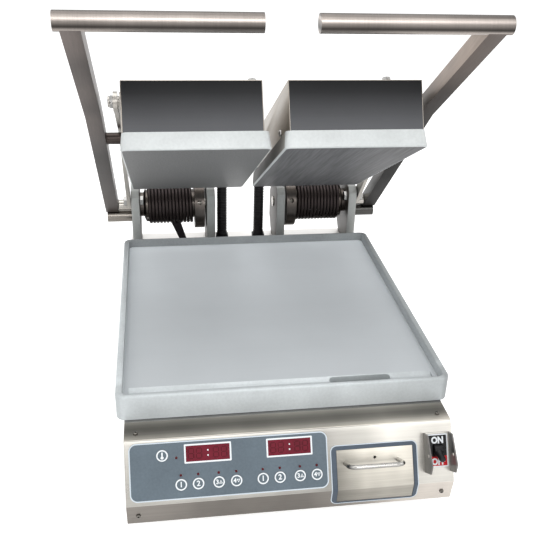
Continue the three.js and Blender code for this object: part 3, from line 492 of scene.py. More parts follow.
# The right peg's finish: a darker copy of the peg steel, which is painted shade.
SHADED_PEG_STEEL = replace(SHAFT_STEEL, name="dark_peg_steel", tint=(76, 75, 73))
BOLT_STEEL = Finish(
    "bolt_steel", (156, 155, 153), "bright_steel", 1.0, 0.3, Grain.CAST, 0.2, 0.1, 0.02,
    even(420.0),
)
SCREW_STEEL = replace(BOLT_STEEL, name="screw_steel", tint=(112, 109, 104))
GUARD_STEEL = Finish(
    "guard_steel", (112, 110, 108), "guard_steel", 1.0, 0.36, Grain.BRUSHED, 0.45, 0.2, 0.03,
    (60.0, 1100.0, 60.0), 59.3,
)
HUB_STEEL = Finish(
    "hub_steel", (104, 97, 92), "hub_steel", 1.0, 0.34, Grain.BRUSHED, 0.35, 0.16, 0.02,
    BAR_GRAIN,
)
COLLAR_STEEL = Finish(
    "collar_steel", (98, 92, 88), "black_steel", 1.0, 0.34, Grain.BRUSHED, 0.45, 0.2, 0.03,
    BAR_GRAIN,
)
SPRING_STEEL = Finish(
    "spring_wire", (54, 47, 46), "black_steel", 0.8, 0.4, Grain.CAST, 0.35, 0.14, 0.03, even(260.0)
)
STAY_STEEL = replace(
    SPRING_STEEL, name="stay_bar", tint=(36, 31, 34), metallic=0.3, roughness=0.5, contrast=0.3,
    spread=0.12, specular=0.3,
)
HOOD_STEEL = Finish(
    "hood_sheet", (172, 165, 156), "hood_steel", 1.0, 0.34, Grain.BRUSHED, 0.24, 0.16, 0.02,
    (700.0, 12.0, 700.0), 28.0,
)
# The hood's front: a dark, non-metal copy of the hood sheet that paints a reflection of a dark
# room, near black at the top and mid grey at the bottom.
HOOD_FRONT_SHADED = Finish(
    "hood_front", (100, 101, 104), "hood_steel", 0.0, 0.5, Grain.BRUSHED, 0.08, 0.1, 0.01,
    SHEET_GRAIN, specular=0.12,
    fades=(Fade(HOOD_RISE, ((404.7, 1.0), (424.7, 0.58), (447.4, 0.18), (461.4, 0.08))),),
)
# The cooking floor, with painted light: a pale tint whose fade brightens it towards the back, to
# even out the shade under the platens.
GRIDDLE_TOP = Finish(
    "griddle_floor", (242, 248, 252), "cast_aluminium", 0.0, 0.55, Grain.BRUSHED, 0.03, 0.03, 0.01,
    (7.0, 420.0, 420.0), specular=0.3,
    fades=(Fade(BACKWARD, ((0, 0.56), (100, 0.6), (200, 0.69), (300, 0.88), (400, 1.0))),),
)
# The casting, with painted shade: a darker band along the trough behind its front face, darker
# towards the back and towards the right side.
GRIDDLE_CAST = Finish(
    "griddle_casting", (214, 220, 222), "cast_aluminium", 0.15, 0.5, Grain.CAST, 0.22, 0.14, 0.05,
    even(330.0), specular=0.4,
    fades=(
        Fade(BACKWARD, ((-1, 1.0), (2, 0.78), (20, 0.82), (26, 1.0), (33, 1.0), (40, 0.88),
                        (120, 1.0), (330, 0.94), (384, 0.7), (402, 0.42))),
        Fade(ACROSS, ((-186, 1.0), (60, 1.0), (110, 0.88), (160, 0.8), (177, 0.74), (180, 0.6),
                      (186, 0.6))),
    ),
)
# The tray's inner walls: a darker copy of the casting, which is painted shade, darkest at the back
# wall.
TRAY_WALL_SHADED = replace(
    GRIDDLE_CAST, name="tray_wall", tint=(184, 189, 191), contrast=0.3, specular=0.3,
    fades=(Fade(BACKWARD, ((0, 1.0), (250, 0.94), (388, 0.8), (394, 0.58), (402, 0.58))),),
)
PLATEN_CAST = Finish(
    "platen_casting", (204, 208, 208), "cast_grey", 0.15, 0.45, Grain.CAST, 0.2, 0.14, 0.05,
    even(330.0), specular=0.4,
)
# The right platen's inner side: a darker copy of the casting, with painted shade that deepens
# towards the back.
PLATEN_SIDE_SHADED = replace(
    PLATEN_CAST, name="platen_side", tint=(148, 145, 140), roughness=0.5, contrast=0.3,
    specular=0.3, fades=(Fade(BACKWARD, ((135, 1.0), (165, 0.5), (200, 0.2), (460, 0.16))),),
)
PLATEN_FACE = Finish(
    "platen_face", (113, 113, 113), "cast_grey", 0.0, 0.5, Grain.STREAKED, 0.8, 0.12, 0.05,
    (520.0, 300.0, 520.0), 28.0, specular=0.2,
)
# The right platen's ground face. Its fade across is painted shade, darker towards the outer side.
PLATEN_GROUND = replace(
    PLATEN_FACE, name="ground_face", tint=(101, 101, 103), contrast=1.3, spread=0.14, depth=0.04,
    scale=(420.0, 14.0, 420.0), fades=(Fade(ACROSS, ((14, 1.0), (100, 0.95), (172, 0.78))),),
)
EAR_CAST = Finish(
    "ear_casting", (158, 160, 158), "cast_grey", 0.4, 0.46, Grain.CAST, 0.24, 0.14, 0.05,
    even(330.0),
)
# The ears' flat sides: a dark copy of the ear casting, which is painted shade.
EAR_SIDE_SHADED = replace(EAR_CAST, name="ear_side", tint=(66, 61, 56))
RUBBER = Finish(
    "black_rubber", (34, 33, 34), "black_rubber", 0.0, 0.62, Grain.CAST, 0.3, 0.12, 0.04,
    even(300.0), specular=0.3,
)
HOSE = replace(RUBBER, name="conduit_vinyl", tint=(30, 28, 30), roughness=0.42, depth=0.03)
PLASTIC = Finish(
    "black_plastic", (20, 20, 22), "black_plastic", 0.0, 0.4, Grain.CAST, 0.3, 0.1, 0.02,
    even(500.0), specular=0.3,
)
FILM = Finish(
    "overlay_film", (99, 111, 120), "overlay_film", 0.0, 0.5, Grain.CAST, 0.3, 0.08, 0.01,
    even(420.0), specular=0.2,
)
BAND = replace(FILM, name="band_film", tint=(82, 92, 104))
KEY = Finish(
    "key_film", (97, 109, 117), "key_cap", 0.0, 0.5, Grain.CAST, 0.06, 0.08, 0.01, even(600.0),
    specular=0.2,
)
PRINT = Finish(
    "white_print", (236, 240, 243), "overlay_film", 0.0, 0.5, Grain.CAST, 0.04, 0.06, 0.01,
    even(700.0), specular=0.2,
)
BORDER = replace(PRINT, name="pale_border", tint=(206, 216, 224), contrast=0.05)
WINDOW = Finish(
    "red_window", (108, 22, 40), "overlay_film", 0.0, 0.4, Grain.CAST, 0.5, 0.08, 0.01,
    even(220.0), specular=0.15,
)
SEGMENT = replace(WINDOW, name="display_segment", tint=(86, 14, 28))
LAMP = Finish(
    "red_lamp", (82, 13, 26), "circuit_board", 0.0, 0.3, Grain.CAST, 0.2, 0.06, 0.01, even(500.0),
    specular=0.2,
)
RED_FIELD = Finish(
    "red_field", (196, 30, 38), "black_plastic", 0.0, 0.4, Grain.CAST, 0.06, 0.06, 0.01,
    even(600.0), specular=0.2,
)
BOARD = Finish(
    "circuit_board", (46, 90, 60), "circuit_board", 0.0, 0.5, Grain.CAST, 0.3, 0.1, 0.03,
    even(500.0),
)
HEATER = Finish(
    "heater_sheath", (70, 66, 62), "heater_sheath", 0.9, 0.45, Grain.CAST, 0.3, 0.14, 0.03,
    even(400.0),
)


def linear(tint: tuple[int, int, int]) -> tuple[float, float, float, float]:
    """A colour from 0 to 255 as linear light, by the usual power of 2.4 with its offset."""
    share = np.array(tint) / 255
    return (*np.where(share <= 0.04045, share / 12.92, ((share + 0.055) / 1.055) ** 2.4), 1.0)


class Nodes:
    """Adds shader nodes to one tree, from left to right."""

    step = 190

    def __init__(self, tree: bpy.types.NodeTree) -> None:
        """Takes the tree to fill, and empties it."""
        self.tree, self.place = tree, 0
        tree.nodes.clear()

    def add(
        self, kind: str, inputs: dict[str | int, object] | None = None, **settings: object
    ) -> bpy.types.Node:
        """Adds a node.

        Args:
            kind: Type of the node, without its ShaderNode.
            inputs: What feeds its inputs: sockets are linked, and constants are set.
            **settings: Its own properties.

        Returns:
            The node.
        """
        node = self.tree.nodes.new(kind if kind.startswith("Node") else f"ShaderNode{kind}")
        node.location = (self.place, 0)
        self.place += self.step
        for key, value in settings.items():
            setattr(node, key, value)
        for key, value in (inputs or {}).items():
            self.feed(node, key, value)
        return node

    def feed(self, node: bpy.types.Node, key: str | int, value: object) -> None:
        """Links a socket to one of a node's inputs, or sets a constant there.

        Args:
            node: The node.
            key: Name or number of its input.
            value: The socket or the constant.
        """
        if isinstance(value, bpy.types.NodeSocket):
            self.tree.links.new(value, node.inputs[key])
        else:
            node.inputs[key].default_value = value

    def math(self, operation: str, *values: object) -> bpy.types.NodeSocket:
        """Adds a Math node whose inputs are sockets or numbers, and returns its output."""
        return self.add("Math", dict(enumerate(values)), operation=operation).outputs[0]


@dataclass(frozen=True)
class Pattern:
    """What a shared grain is made of.

    Args:
        cloud_scale: Cells to the metre of the soft clouds in a finish.
        cloud_share: How much of the contrast the clouds have.
        detail: Octaves of the fine noise.
        pit_share: Share of small pits that joins the fine noise in the height.
    """

    cloud_scale: float
    cloud_share: float
    detail: float
    pit_share: float


PATTERNS = {
    Grain.BRUSHED: Pattern(16.0, 1.1, 3.0, 0.0),
    Grain.CAST: Pattern(26.0, 0.7, 4.0, 0.35),
    Grain.STREAKED: Pattern(20.0, 0.12, 1.0, 0.0),
}


class FinishShop:
    """Makes each material once, from its finish, with the shared grains as node groups."""

    bump_strength = 0.6
    cloud_detail = 2.0

    def __init__(self, origin_y: float) -> None:
        """Builds the shared grains.

        Args:
            origin_y: The drawing frame's origin in the row frame, in metres.
        """
        self.origin_y = origin_y
        self.groups = {grain: self._group(grain) for grain in Grain}
        self.made: dict[str, bpy.types.Material] = {}

    def _group(self, grain: Grain) -> bpy.types.NodeTree:
        """A grain: fine noise plus soft clouds, which shade a tint, a roughness and a height.

        The tint is scaled by 1 + contrast * (fine - 0.5 + share * (cloud - 0.5)), the roughness
        is the mean plus spread * (cloud - 0.5), and the height is the fine noise itself.

        Args:
            grain: Which grain.

        Returns:
            The node group.
        """
        pattern = PATTERNS[grain]
        tree = bpy.data.node_groups.new(grain.value, "ShaderNodeTree")
        for way, sockets in (
            ("INPUT", {"Fine": "Vector", "Place": "Vector", "Tint": "Color", "Contrast": "Float",
                       "Mean": "Float", "Spread": "Float"}),
            ("OUTPUT", {"Color": "Color", "Roughness": "Float", "Height": "Float"}),
        ):
            for name, kind in sockets.items():
                tree.interface.new_socket(name=name, in_out=way, socket_type=f"NodeSocket{kind}")
        nodes = Nodes(tree)
        inputs = nodes.add("NodeGroupInput").outputs
        fine = nodes.add("TexNoise", {
            "Scale": 1.0, "Detail": pattern.detail, "Vector": inputs["Fine"],
        }).outputs[0]
        cloud = nodes.add("TexNoise", {
            "Scale": pattern.cloud_scale, "Detail": self.cloud_detail, "Vector": inputs["Place"],
        }).outputs[0]
        height = fine
        if pattern.pit_share:
            pits = nodes.add("TexVoronoi", {"Scale": 1.0, "Vector": inputs["Fine"]})
            height = nodes.math("MULTIPLY_ADD", pits.outputs["Distance"], pattern.pit_share, fine)
        soft = nodes.math("SUBTRACT", cloud, 0.5)
        sharp = nodes.math("SUBTRACT", fine, 0.5)
        both = nodes.math("MULTIPLY_ADD", soft, pattern.cloud_share * 2, sharp)
        shade = nodes.math("MULTIPLY_ADD", both, inputs["Contrast"], 1.0)
        colour = nodes.add("VectorMath", {0: inputs["Tint"], "Scale": shade}, operation="SCALE")
        rough = nodes.math("MULTIPLY_ADD", soft, inputs["Spread"], inputs["Mean"])
        nodes.add("NodeGroupOutput", {
            "Color": colour.outputs[0], "Roughness": rough, "Height": height,
        })
        return tree

    def material(self, finish: Finish) -> bpy.types.Material:
        """The material of a finish, made the first time that it is asked for.

        Args:
            finish: The finish.

        Returns:
            The material.
        """
        if finish.name not in self.made:
            self.made[finish.name] = self._build(finish)
        return self.made[finish.name]

    def _build(self, finish: Finish) -> bpy.types.Material:
        """Builds a material: object coordinates, turned and scaled, feed the finish's grain.

        Args:
            finish: The finish.

        Returns:
            The material.
        """
        material = bpy.data.materials.new(finish.name)
        material.use_nodes = True
        material.diffuse_color = linear(finish.tint)
        nodes = Nodes(material.node_tree)
        place = nodes.add("TexCoord").outputs["Object"]
        turn = (math.radians(finish.turn), 0.0, 0.0)
        turned_place = nodes.add("Mapping", {"Rotation": turn, "Vector": place}).outputs[0]
        scaled = nodes.add("Mapping", {"Scale": finish.scale, "Vector": turned_place})
        grain = nodes.add("Group", {
            "Fine": scaled.outputs[0], "Place": place, "Tint": linear(finish.tint),
            "Contrast": finish.contrast, "Mean": finish.roughness, "Spread": finish.spread,
        }, node_tree=self.groups[finish.grain])
        bump = nodes.add("Bump", {
            "Strength": self.bump_strength, "Distance": finish.depth * MM,
            "Height": grain.outputs["Height"],
        })
        shader = nodes.add("BsdfPrincipled", {
            "Metallic": finish.metallic, "Specular IOR Level": finish.specular,
            "Roughness": grain.outputs["Roughness"], "Normal": bump.outputs[0],
        })
        colour = grain.outputs["Color"]
        for fade in finish.fades:
            colour = self._faded(nodes, place, colour, fade)
        nodes.feed(shader, "Base Color", colour)
        nodes.add("OutputMaterial", {"Surface": shader.outputs[0]})
        return material

    def _faded(
        self, nodes: Nodes, place: bpy.types.NodeSocket, colour: bpy.types.NodeSocket, fade: Fade
    ) -> bpy.types.NodeSocket:
        """A colour with painted shade along a direction, in place of light and shade.

        The point's dot product with the direction is its distance. A ramp turns that distance,
        from the first stop to the last, into the share of the colour that is left.

        Args:
            nodes: The material's nodes.
            place: Object coordinates.
            colour: The colour to change.
            fade: The direction and the stops.

        Returns:
            The changed colour.
        """
        along = nodes.add("VectorMath", {0: place, 1: fade.direction}, operation="DOT_PRODUCT")
        first, last = fade.stops[0][0], fade.stops[-1][0]
        offset = self.origin_y * fade.direction[1]
        share = nodes.add("MapRange", {
            "Value": along.outputs["Value"],
            "From Min": first * MM + offset, "From Max": last * MM + offset,
        })
        ramp = nodes.add("ValToRGB", {0: share.outputs[0]})
        elements = ramp.color_ramp.elements
        for distance, _ in fade.stops[1:-1]:
            elements.new((distance - first) / (last - first))
        for element, (_, shade) in zip(elements, fade.stops):
            element.color = (shade, shade, shade, 1.0)
        shaded = nodes.add("VectorMath", {0: colour, 1: ramp.outputs[0]}, operation="MULTIPLY")
        return shaded.outputs[0]


# Sizes that several assemblies share


@dataclass(frozen=True)
class Layout:
    """The grill's main places, in the drawing frame."""

    half_base: float = 177.5
    deck: float = 110.0
    back: float = 488.0
    sheet: float = 1.5
    hinge: Pair = (462.0, 172.0)
    pivot: Pair = (299.43, 328.99)
    platen_tilt: float = 28.0

    def platen_place(self) -> Place:
        """The platens' frame, turned by their tilt about the links' pivots.

        Returns:
            The frame: x to the right, y back and down, z out of the top of the hood.
        """
        tilt = math.radians(self.platen_tilt)
        cos, sin = math.cos(tilt), math.sin(tilt)
        return Place((0.0, *self.pivot), up=(0.0, cos, -sin), out=(0.0, sin, cos))


LAYOUT = Layout()


class Side(Enum):
    """The two halves of the grill."""

    LEFT = -1
    RIGHT = 1

    @property
    def label(self) -> str:
        """The name that the pieces of this side start with."""
        return self.name.lower()


@dataclass(frozen=True)
class Softening:
    """Edges of a carried piece that are rounded in its mesh.

    Args:
        where: Tells from the middle of an edge, in the drawing frame, whether it is rounded.
        width: Width of the rounding.
        segments: Steps of the rounding.
        material: Material number of the rounding, or -1 for that of its neighbours.
    """

    where: Callable[[Vector], bool]
    width: float
    segments: int = 4
    material: int = -1


class Workshop:
    """Turns shapes and CAD nodes into finished pieces that ride on the grill's bodies.

    Its angles are in radians, and the distances at which corners merge are in metres.
    """

    flat_angle = math.radians(1.0)
    sharp_angle = math.radians(31.0)
    bevel_angle = math.radians(35.0)
    weld = 0.002 * MM
    copy_weld = 0.02 * MM
    copy_grid = 0.01 * MM

    def __init__(self, frame: dict) -> None:
        """Takes the loaded frame.
        """
        self.nodes = frame["nodes"]
        self.origin_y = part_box("griddle_plate")[0].y
        self.finishes = FinishShop(self.origin_y)
        self.bodies = {
            name: body
            for body, members in frame["record"]["behaviour"]["bodies"].items()
            for name in members
        }

    def row(self, points: Array) -> Array:
        """Drawing points as metres in the row frame."""
        return points * MM + np.array([0.0, self.origin_y, 0.0])

    def drawing(self, point: Vector) -> Vector:
        """A point of the row frame in the drawing frame."""
        return Vector((point.x, point.y - self.origin_y, point.z)) / MM

    @staticmethod
    def _corners(mesh: bpy.types.Mesh) -> Array:
        """The corners of a mesh.

        Args:
            mesh: The mesh.

        Returns:
            Rows of three coordinates.
        """
        corners = np.empty(len(mesh.vertices) * 3, np.float32)
        mesh.vertices.foreach_get("co", corners)
        return corners.reshape(-1, 3)

    def report(self, piece: bpy.types.Object, body: str) -> None:
        """Logs a finished piece."""
        LOG.info("%s rides on %s, %d faces", piece.name, body, len(piece.data.polygons))

    def dress(
        self, piece: bpy.types.Object, finishes: Sequence[Finish], body: str,
        replaces: Sequence[str] = (),
    ) -> None:
        """Gives a piece its materials, its body and the nodes that it stands for.

        Args:
            piece: The piece.
            finishes: Its finishes, the first of which names its slot.
            body: The body that it rides on.
            replaces: The CAD nodes that it stands for.
        """
        for finish in finishes:
            piece.data.materials.append(self.finishes.material(finish))
        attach(piece, body)
        if replaces:
            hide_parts(*replaces)
        self.report(piece, body)

    def mesh_object(self, name: str, shape: Shape, closed: bool = True) -> bpy.types.Object:
        """Makes an object from a shape.

        Args:
            name: Name of the piece.
            shape: Its corners and faces.
            closed: True for a closed skin, whose faces are turned outwards.

        Returns:
            The object, at the origin.
        """
        mesh = bpy.data.meshes.new(name)
        corners = self.row(np.concatenate(shape.blocks))
        mesh.from_pydata(corners.tolist(), [], [face.tolist() for face in shape.faces])
        self._welded(mesh, closed)
        return self._linked(name, mesh)

    def _welded(self, mesh: bpy.types.Mesh, closed: bool) -> None:
        """Merges a mesh's double corners, and turns the faces of a closed one outwards.

        Args:
            mesh: The mesh.
            closed: True for a closed skin.
        """
        work = bmesh.new()
        work.from_mesh(mesh)
        bmesh.ops.remove_doubles(work, verts=work.verts, dist=self.weld)
        if closed:
            bmesh.ops.recalc_face_normals(work, faces=work.faces)
        work.to_mesh(mesh)
        work.free()

    def _linked(self, name: str, mesh: bpy.types.Mesh) -> bpy.types.Object:
        """Links a mesh to the scene as a smooth object with sharp edges past an angle.

        Args:
            name: Name of the object.
            mesh: Its mesh.

        Returns:
            The object.
        """
        mesh.polygons.foreach_set("use_smooth", np.ones(len(mesh.polygons), bool))
        mesh.set_sharp_from_angle(angle=self.sharp_angle)
        mesh.update()
        piece = bpy.data.objects.new(name, mesh)
        bpy.context.scene.collection.objects.link(piece)
        return piece

    def bevel(self, piece: bpy.types.Object, width: float, segments: int = 3) -> None:
        """Adds a bevel to the sharp edges of a piece, with its flat faces kept flat.

        Args:
            piece: The piece.
            width: Width of the bevel, or 0 for none.
            segments: Its steps.
        """
        if width <= 0:
            return
        bevel = piece.modifiers.new("edges", "BEVEL")
        bevel.width = width * MM
        bevel.segments = segments
        bevel.limit_method = "ANGLE"
        bevel.angle_limit = self.bevel_angle
        bevel.harden_normals = True

    def build(
        self, name: str, shape: Shape, finish: Finish, body: str, replaces: Sequence[str] = ()
    ) -> None:
        """Makes a piece of a closed shape, and dresses it in one finish."""
        self.dress(self.mesh_object(name, shape), [finish], body, replaces)

    def flex(
        self, name: str, shape: Shape, finish: Finish, bodies: tuple[str, str],
        ends: tuple[Triple, Triple], node: str,
    ) -> None:
        """Makes and dresses a piece that reaches between two bodies; it stays where it is built and
        rides on neither.

        Args:
            name: Name of the piece.
            shape: Its closed shape.
            finish: Its finish.
            bodies: The bodies at its start and its end, which are only named in the log.
            ends: Where its two ends are, in the drawing frame; not used.
            node: The CAD node that it stands for.
        """
        piece = self.mesh_object(name, shape)
        piece.data.materials.append(self.finishes.material(finish))
        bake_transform(piece)
        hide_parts(node)
        self.report(piece, " and ".join(bodies))

    def merged_copy(self, node: str) -> bmesh.types.BMesh:
        """A copy of a CAD node with its corners merged and its flat faces joined.

        Corners that round to the same hundredth of a millimetre become one, and faces that lie
        within a degree of each other become one face.

        Args:
            node: Name of the node.

        Returns:
            The copy, as a bmesh.
        """
        source = self.nodes[node].data
        corners = self._corners(source)
        loops = np.empty(len(source.loops), np.int32)
        source.loops.foreach_get("vertex_index", loops)
        key = np.round(corners / self.copy_grid).astype(np.int64)
        _, first, index = np.unique(key, axis=0, return_index=True, return_inverse=True)
        faces = index.ravel()[loops].reshape(-1, 3)
        whole = (faces != np.roll(faces, 1, axis=1)).all(axis=1)
        mesh = bpy.data.meshes.new(f"{node}_copy")
        mesh.from_pydata(corners[first].tolist(), [], faces[whole].tolist())
        work = bmesh.new()
        work.from_mesh(mesh)
        bpy.data.meshes.remove(mesh)
        bmesh.ops.remove_doubles(work, verts=work.verts, dist=self.copy_weld)
        bmesh.ops.dissolve_limit(
            work, angle_limit=self.flat_angle, verts=work.verts, edges=work.edges
        )
        work.normal_update()
        return work

    def carry(
        self, node: str, finish: Finish | Sequence[Finish], bevel: float,
        softenings: Sequence[Softening] = (), zones: Sequence[Zone] = (),
    ) -> None:
        """Makes a finished copy of a CAD node, with its edges softened, and hides the node.

        Args:
            node: Name of the node.
            finish: Its finish, or several for its zones.
            bevel: Width of the bevel on its remaining sharp edges.
            softenings: Edges that are rounded in the mesh, in order.
            zones: Material numbers, each with a test of a face's middle and normal.
        """
        finishes = [finish] if isinstance(finish, Finish) else list(finish)
        work = self.merged_copy(node)
        for number, belongs in zones:
            for face in work.faces:
                if belongs(self.drawing(face.calc_center_median()), face.normal):
                    face.material_index = number
        for softening in softenings:
            self._soften(work, softening)
        mesh = bpy.data.meshes.new(f"{node}_skin")
        work.to_mesh(mesh)
        work.free()
        piece = self._linked(f"{node}_skin", mesh)
        self.bevel(piece, bevel)
        self.dress(piece, finishes, self.bodies[node], [node])

    def _soften(self, work: bmesh.types.BMesh, softening: Softening) -> None:
        """Rounds the sharp edges that a softening names.

        Args:
            work: The mesh.
            softening: The edges, with their width and steps.
        """
        edges = [
            edge for edge in work.edges
            if len(edge.link_faces) == 2
            and edge.calc_face_angle(0.0) > self.sharp_angle
            and softening.where(self.drawing((edge.verts[0].co + edge.verts[1].co) / 2))
        ]
        if edges:
            bmesh.ops.bevel(
                work, geom=edges, offset=softening.width * MM, offset_type="OFFSET",
                segments=softening.segments, profile=0.5, affect="EDGES", clamp_overlap=True,
                material=softening.material,
            )

    def lettering(
        self, name: str, text: str, size: float, place: Place, finish: Finish, body: str,
        thick: float, weight: float, tall: float = 1.0,
    ) -> None:
        """Makes raised lettering that stands on a plane.

        Args:
            name: Name of the piece.
            text: The letters or numbers.
            size: Size of the letters.
            place: Its middle and its directions.
            finish: Its finish.
            body: The body that it rides on.
            thick: How thick it is.
            weight: How much bolder than the plain letters it is.
            tall: How many times taller than the plain letters it is.
        """
        curve = bpy.data.curves.new(f"{name}_curve", "FONT")
        curve.body = text
        curve.size = size
        curve.align_x = "CENTER"
        curve.align_y = "CENTER"
        curve.extrude = thick / 2
        curve.offset = weight
        curve.resolution_u = 4
        flat = bpy.data.objects.new(f"{name}_curve", curve)
        bpy.context.scene.collection.objects.link(flat)
        bpy.context.view_layer.update()
        graph = bpy.context.evaluated_depsgraph_get()
        mesh = bpy.data.meshes.new_from_object(flat.evaluated_get(graph))
        mesh.name = name
        bpy.data.objects.remove(flat)
        bpy.data.curves.remove(curve)
        raised = self._corners(mesh) * np.array([1.0, tall, 1.0])
        raised += np.array([0.0, 0.0, thick / 2])
        mesh.vertices.foreach_set("co", self.row(place.points(raised)).astype(np.float32).ravel())
        self._welded(mesh, True)
        self.dress(self._linked(name, mesh), [finish], body)


def band(outer: Array, inner: Array, low: float, high: float, lift: Lift) -> Shape:
    """A flat ring between two loops: outer wall, top, inner wall and underside, in a hoop."""
    rings = [lift(outer, low), lift(outer, high), lift(inner, high), lift(inner, low)]
    return Shape().loft(np.stack(rings), hoop=True)


def pad(loop: Array, low: float, high: float, lift: Lift) -> Shape:
    """A thin slab over a loop, from one height to another."""
    return Shape().loft(np.stack([lift(loop, low), lift(loop, high)]))


def hexagon(flats: float, sides: int) -> Array:
    """Radii of a hexagon at equal steps: its flat distance over cos of the angle to a flat."""
    angle = np.arange(sides) * 2 * np.pi / sides
    return flats / np.cos((angle + np.pi / 6) % (np.pi / 3) - np.pi / 6)


@dataclass(frozen=True)
class Screw:
    """A round-headed screw with a hexagonal socket.

    Args:
        head: Radius of the head.
        high: Height of the head.
        shank: Radius of the shank.
        length: Length of the shank.
        socket: Distance from the middle to a flat of the socket, as a share of the head.
        sides: Sides of its rings.
    """

    head: float
    high: float
    shank: float
    length: float
    socket: float = 0.44
    sides: int = 36

    def shape(self, place: Place) -> Shape:
        """The screw, with its head on a face.

        The head is turned from a domed profile, whose last ring joins the socket's hexagon at
        the top. The socket's second hexagon is its floor.

        Args:
            place: The face that the head sits on.

        Returns:
            The shape.
        """
        head, high, shank = self.head, self.high, self.shank
        profile = [
            (shank * 0.6, -self.length), (shank, -self.length + shank * 0.5), (shank, 0.0),
            (head, 0.0), (head, high * 0.45), (head * 0.9, high * 0.78), (head * 0.68, high * 0.97),
        ]
        unit = circle(1.0, self.sides)
        socket = unit * hexagon(head * self.socket, self.sides)[:, None]
        sunk = np.stack([level(socket, high), level(socket, high * 0.35)])
        return Shape().loft(place.points(np.concatenate([turned(profile, self.sides), sunk])))


@dataclass(frozen=True)
class Nut:
    """A hexagonal nut with rounded corners on its top face.

    Args:
        flats: Distance from its middle to a flat.
        thick: Its thickness.
        bore: Radius of its bore.
        sides: Sides of its rings.
    """

    flats: float
    thick: float
    bore: float
    sides: int = 48

    def shape(self, place: Place) -> Shape:
        """The nut: rings of a hexagon, cut back to a circle at both faces, round its bore.

        Args:
            place: Its underside and its directions.

        Returns:
            The shape.
        """
        reach = hexagon(self.flats, self.sides)
        bore = np.full(self.sides, self.bore)
        rows = [
            (bore, 0.0), (np.minimum(reach, self.flats * 1.06), 0.0), (reach, self.thick * 0.12),
            (reach, self.thick * 0.82), (np.minimum(reach, self.flats * 1.04), self.thick),
            (bore, self.thick),
        ]
        unit = circle(1.0, self.sides)
        rings = np.stack([level(unit * radius[:, None], height) for radius, height in rows])
        return Shape().loft(place.points(rings), hoop=True)


PANEL_SCREW = Screw(2.4, 1.5, 1.4, 9.0)
HOOD_SCREW = Screw(4.2, 2.4, 2.0, 4.0)
LID_NUT = Nut(4.2, 4.4, 2.0)
LINK_NUT = Nut(6.6, 3.6, 5.6)


# Front


@dataclass(frozen=True)
class PanelLine:
    """The profile of the folded front, from the back of its ledge to the end of its lip.

    Distances are measured down the profile from the top bend, and the bends are round. A box on
    the front is its left, right, top and bottom, the last two as such distances.
    """

    ledge_back: float = -4.0
    top_bend: Pair = (-35.3, 110.0)
    low_bend: Pair = (-69.8, 51.9)
    lip_end: Pair = (-66.0, 25.0)
    bend: float = 2.6
    steps: int = 8
    drawer: Box = (46.5, 132.1, 24.9, 86.97)
    windows: Pair = (-91.0, -4.2)
    window_row: float = 17.0

    @property
    def slope_length(self) -> float:
        """Distance between the two bends."""
        return math.dist(self.top_bend, self.low_bend)

    @property
    def end(self) -> float:
        """Distance of the end of the lip."""
        return self.slope_length + math.dist(self.low_bend, self.lip_end)

    @property
    def start(self) -> float:
        """Distance of the back of the ledge, which is negative."""
        return self.top_bend[0] - self.ledge_back

    def stations(self) -> tuple[Array, Array, Array]:
        """The profile's own points.

        Each bend is an arc: its centre is one radius inside the first run, and its normal turns
        evenly from the first run's to the second's.

        Returns:
            Distances, points in (y, z) and outward normals.
        """
        corners = np.array([
            (self.ledge_back, self.top_bend[1]), self.top_bend, self.low_bend, self.lip_end,
        ])
        runs = np.diff(corners, axis=0)
        runs /= np.linalg.norm(runs, axis=1, keepdims=True)
        normals = np.stack([runs[:, 1], -runs[:, 0]], axis=1)
        distances, points, outs = [np.array([self.start])], [corners[:1]], [normals[:1]]
        for number, at in ((1, 0.0), (2, self.slope_length)):
            first, second = normals[number - 1], normals[number]
            change = math.acos(float(first @ second))
            reach = self.bend * math.tan(change / 2)
            share = np.linspace(0, 1, self.steps + 1)[:, None]
            normal = np.sin((1 - share) * change) * first + np.sin(share * change) * second
            normal /= math.sin(change)
            begin = corners[number] - runs[number - 1] * reach
            points.append(begin - self.bend * first + self.bend * normal)
            distances.append(at - reach + 2 * reach * share[:, 0])
            outs.append(normal)
        distances.append(np.array([self.end]))
        points.append(corners[-1:])
        outs.append(normals[-1:])
        return np.concatenate(distances), np.concatenate(points), np.concatenate(outs)

    def surface(self, loop: Array, out: float) -> Array:
        """Points over the folded front: x as given, then the profile's point plus its normal.

        Args:
            loop: Rows of x and distance down the profile.
            out: Height above the outer face.

        Returns:
            Points in the drawing frame.
        """
        distances, points, outs = self.stations()
        down = loop[..., 1]
        y, z, ny, nz = (np.interp(down, distances, row) for row in (*points.T, *outs.T))
        return np.stack([loop[..., 0], y + out * ny, z + out * nz], axis=-1)

    @staticmethod
    def _run_place(high: Pair, low: Pair) -> Place:
        """The plane of a straight run: x to the right, y up the run from its top, z out of it."""
        rise_y, rise_z = (np.array(high) - np.array(low)) / math.dist(high, low)
        return Place((0.0, *high), up=(0.0, rise_y, rise_z), out=(0.0, -rise_z, rise_y))

    def slope_place(self) -> Place:
        """The slope's plane, measured from the top bend."""
        return self._run_place(self.top_bend, self.low_bend)

    def lip_place(self) -> Place:
        """The lip's plane, measured from the lower bend."""
        return self._run_place(self.low_bend, self.lip_end)


LINE = PanelLine()
SLOPE = LINE.slope_place()


def on_slope(loop: Array, out: float) -> Array:
    """A loop of x and distance down the slope, lifted off the slope's plane."""
    return SLOPE.points(np.stack([loop[:, 0], -loop[:, 1], np.full(len(loop), out)], axis=1))


